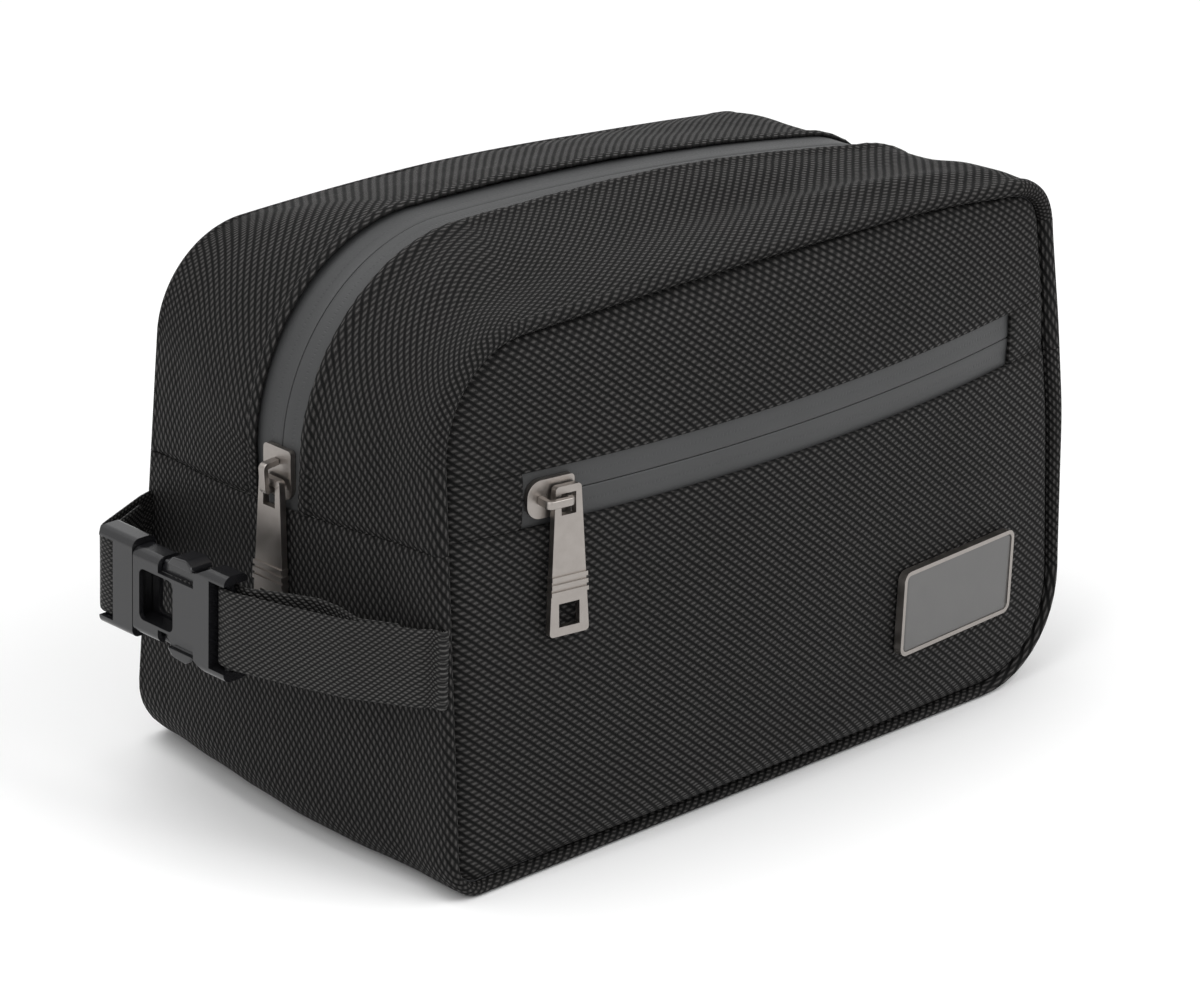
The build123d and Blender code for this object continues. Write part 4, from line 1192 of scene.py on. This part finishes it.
def strap_paths():
    """Plan paths of the straps, each from its seam round its bar of the buckle and back."""
    seam = seam_y(WEB_Z) - WEB_T / 2
    out_x, in_x = BUCKLE_X - BAR_LOOP, BUCKLE_X + BAR_LOOP
    bend = BAR_LOOP * 0.98
    root = (-HALF_LENGTH - 0.6, -seam)
    outer, inner = (out_x, FRONT_BAR_Y), (in_x, FRONT_BAR_Y)
    rim_x = -HALF_LENGTH - 3.6
    front = [
        (-HALF_LENGTH - 1.6, -seam - 1.2),
        (-HALF_LENGTH - 2.0, -seam - 3.9),
        (rim_x, -seam - 3.9),
        (rim_x - 0.2, -seam),
        part_way(root, outer, 0.216, 0.032),
        part_way(root, outer, 0.586, 0.327),
        part_way(root, outer, 0.805, 0.626),
        part_way(root, outer, 1.0, 0.933),
        (out_x, FRONT_BAR_Y + BAR_LOOP),
        (in_x, FRONT_BAR_Y + BAR_LOOP),
        part_way(inner, root, 0.0, 0.074),
        part_way(inner, root, 0.178, 0.176),
        part_way(inner, root, 0.448, 0.378),
        part_way(inner, root, 0.474, 0.512),
        part_way(inner, root, 0.408, 0.676),
        part_way(inner, root, 0.687, 0.867),
    ]
    run = seam + FRONT_BAR_Y
    radii = [0.5, 0.7, 2.0] + [q * run for q in (0.05, 0.235, 0.5, 0.134)]
    radii += [bend, bend] + [q * run for q in (0.05, 0.2, 0.1, 0.084, 0.05)]
    front_path = rounded_path(front, radii)
    root = (-BACK_HALF - 0.6, seam)
    outer, inner = (out_x, REAR_BAR_Y), (in_x, REAR_BAR_Y)
    rear = [
        root,
        part_way(root, outer, 0.182, 0.084),
        part_way(root, outer, 0.866, 0.554),
        part_way(root, outer, 1.0, 0.821),
        (out_x, REAR_BAR_Y - BAR_LOOP),
        (in_x, REAR_BAR_Y - BAR_LOOP),
        part_way(inner, root, 0.0, 0.159),
        part_way(inner, root, 0.143, 0.367),
        part_way(inner, root, 0.67, 0.697),
    ]
    run = seam - REAR_BAR_Y
    radii = [q * run for q in (0.149, 0.397, 0.198)]
    radii += [bend, bend] + [q * run for q in (0.149, 0.248)]
    return front_path, rounded_path(rear, radii)


front_path, rear_path = strap_paths()
strap("front_strap_webbing", front_path, "front_strap")
strap("rear_strap_webbing", rear_path, "rear_strap")


# Layers inside: welded copies of the part's own sheets, with softer edges
TUCK_DOWN = 3.2
TUCK_IN = 2.4
INNER_ROUND = 0.2


def tuck(mesh):
    """Lower the top of an inner layer, and draw in its top right, clear of the cloth's dips."""
    for vertex in mesh.vertices:
        high = float(smooth((vertex.co.z / MM - 90.0) / 45.0))
        right = float(smooth((vertex.co.x / MM - 55.0) / 40.0))
        vertex.co += Vector((-TUCK_IN * right * high, 0.0, -TUCK_DOWN * high)) * MM


def inner_copy(node, finish):
    mesh = NODES[node].data.copy()
    if not node.startswith(("back", "pocket")):
        tuck(mesh)
    mesh.materials.clear()
    o = bpy.data.objects.new(node + "_layer", mesh)
    bpy.context.scene.collection.objects.link(o)
    deselect()
    o.select_set(True)
    bpy.context.view_layer.objects.active = o
    bpy.ops.object.mode_set(mode="EDIT")
    bpy.ops.mesh.select_all(action="SELECT")
    bpy.ops.mesh.remove_doubles(threshold=1e-6)
    bpy.ops.object.mode_set(mode="OBJECT")
    for layer in list(mesh.uv_layers):
        mesh.uv_layers.remove(layer)
    layer = mesh.uv_layers.new(name="cloth")
    for loop in mesh.loops:
        co = mesh.vertices[loop.vertex_index].co
        layer.data[loop.index].uv = (co.x, co.y + co.z)
    soft_edge(o, INNER_ROUND)
    dress(o, finish, "bag", [node])


LININGS = ("front_lining", "back_lining", "gusset_lining", "pocket_backing")
FOAMS = ("front_foam", "back_foam", "gusset_foam")
BINDINGS = ("front_binding", "back_binding")
for nodes, finish, slot in (
    (LININGS, lining_cloth, "lining_fabric"),
    (FOAMS, foam_sheet, "foam_sheet"),
    (BINDINGS, binding_cloth, "binding_tape"),
):
    for node in nodes:
        inner_copy(node, finish)


# Rigid nodes keep their shape, and get a finish and rounded edges
def finish_node(node, finish, width):
    o = NODES[node]
    o.data.materials.clear()
    o.data.materials.append(finish)
    weld = o.modifiers.new("Weld", "WELD")
    weld.merge_threshold = 1e-6
    if width:
        b = o.modifiers.new("Bevel", "BEVEL")
        b.width = width * MM
        b.segments = 3
        b.limit_method = "ANGLE"
        b.angle_limit = math.radians(35)
        b.use_clamp_overlap = True
    for poly in o.data.polygons:
        poly.use_smooth = True
    n = o.modifiers.new("WeightedNormal", "WEIGHTED_NORMAL")
    n.keep_sharp = True


FINISHES = {
    "main_slider_body": (gunmetal, 0.3),
    "main_slider_bridge": (gunmetal, 0.15),
    "main_zip_pull": (gunmetal, 0.15),
    "pocket_slider_body": (gunmetal, 0.3),
    "pocket_slider_bridge": (gunmetal, 0.3),
    "pocket_zip_pull": (gunmetal, 0.3),
    "badge_frame": (gunmetal, 0.3),
    "badge_inlay": (enamel, 0.0),
    "badge_backing_plate": (gunmetal, 0.1),
    "main_zip_coil": (coil_nylon, 0.0),
    "pocket_zip_coil": (coil_nylon, 0.0),
    "main_zip_stops": (coil_nylon, 0.1),
    "pocket_zip_stops": (coil_nylon, 0.1),
    "buckle_female": (buckle_plastic, 0.8),
    "buckle_male": (buckle_plastic, 0.8),
    "buckle_arm_upper": (buckle_plastic, 0.8),
    "buckle_arm_lower": (buckle_plastic, 0.8),
}
for node, (finish, width) in FINISHES.items():
    finish_node(node, finish, width)


# Floor, light and background
def area_light(name, place, target, size, power):
    data = bpy.data.lights.new(name, "AREA")
    data.shape = "RECTANGLE"
    data.size, data.size_y = size
    data.energy = power
    o = bpy.data.objects.new(name, data)
    bpy.context.scene.collection.objects.link(o)
    o.location = place
    o.rotation_mode = "QUATERNION"
    o.rotation_quaternion = (Vector(target) - Vector(place)).to_track_quat("-Z", "Y")


deselect()
bpy.ops.mesh.primitive_plane_add(size=8.0, location=(0, 0, -0.0004))
floor = bpy.context.object
floor.name = "studio_floor"
floor_paper, gr, shader = material("pale_floor")
at = gr.node("ShaderNodeTexCoord").outputs["Object"]
paper_tone = gr.mix(gr.noise(at, 3.0), (*grey(0.90), 1), (*grey(0.92), 1))
gr.feed(shader.inputs["Base Color"], paper_tone)
shader.inputs["Roughness"].default_value = 0.7
floor.data.materials.append(floor_paper)

WORLD_LIGHT = 0.62
world = bpy.data.worlds.new("studio")
bpy.context.scene.world = world
world.use_nodes = True
world.node_tree.nodes.clear()
gr = Graph(world.node_tree)
path = gr.node("ShaderNodeLightPath")
seen = gr.math("ADD", path.outputs["Is Camera Ray"], path.outputs["Is Glossy Ray"], clamp=True)
seen = gr.math("ADD", seen, path.outputs["Is Transmission Ray"], clamp=True)
strength = gr.ramp(seen, 0.0, 1.0, WORLD_LIGHT, 1.0)
background = gr.node("ShaderNodeBackground")
background.inputs["Color"].default_value = (1, 1, 1, 1)
gr.feed(background.inputs["Strength"], strength)
world_out = gr.node("ShaderNodeOutputWorld")
world.node_tree.links.new(background.outputs[0], world_out.inputs[0])

area_light("key_softbox", (0.55, -1.1, 1.25), (0, 0, 0.08), (1.2, 1.2), 16.0)
area_light("top_softbox", (-0.4, 0.3, 1.5), (0, 0, 0.1), (1.4, 1.0), 12.0)
area_light("left_strip", (-1.3, -0.5, 0.7), (0, 0, 0.08), (0.5, 1.2), 5.0)

# Camera at the photograph's place
CAM_AZIMUTH = math.radians(-44.94)
CAM_ELEVATION = math.radians(22.1)
CAM_ROLL = math.radians(1.74)
CAM_DISTANCE = 1.740
CAM_AIM = Vector((-0.0029, 0.0, 0.0677))
CAM_LENS = 173.96
back_way = Vector(
    (
        math.sin(CAM_AZIMUTH) * math.cos(CAM_ELEVATION),
        -math.cos(CAM_AZIMUTH) * math.cos(CAM_ELEVATION),
        math.sin(CAM_ELEVATION),
    )
)
right_way = (-back_way).cross(Vector((0, 0, 1))).normalized()
up_way = right_way.cross(-back_way)
cam_x = right_way * math.cos(CAM_ROLL) + up_way * math.sin(CAM_ROLL)
cam_y = -right_way * math.sin(CAM_ROLL) + up_way * math.cos(CAM_ROLL)
camera_data = bpy.data.cameras.new("photo_camera")
camera_data.sensor_width = 36.0
camera_data.lens = CAM_LENS
camera = bpy.data.objects.new("photo_camera", camera_data)
bpy.context.scene.collection.objects.link(camera)
axes = Matrix((cam_x, cam_y, back_way)).transposed()
camera.matrix_world = Matrix.Translation(CAM_AIM + back_way * CAM_DISTANCE) @ axes.to_4x4()
bpy.context.scene.camera = camera
bpy.context.scene.view_settings.view_transform = "Standard"
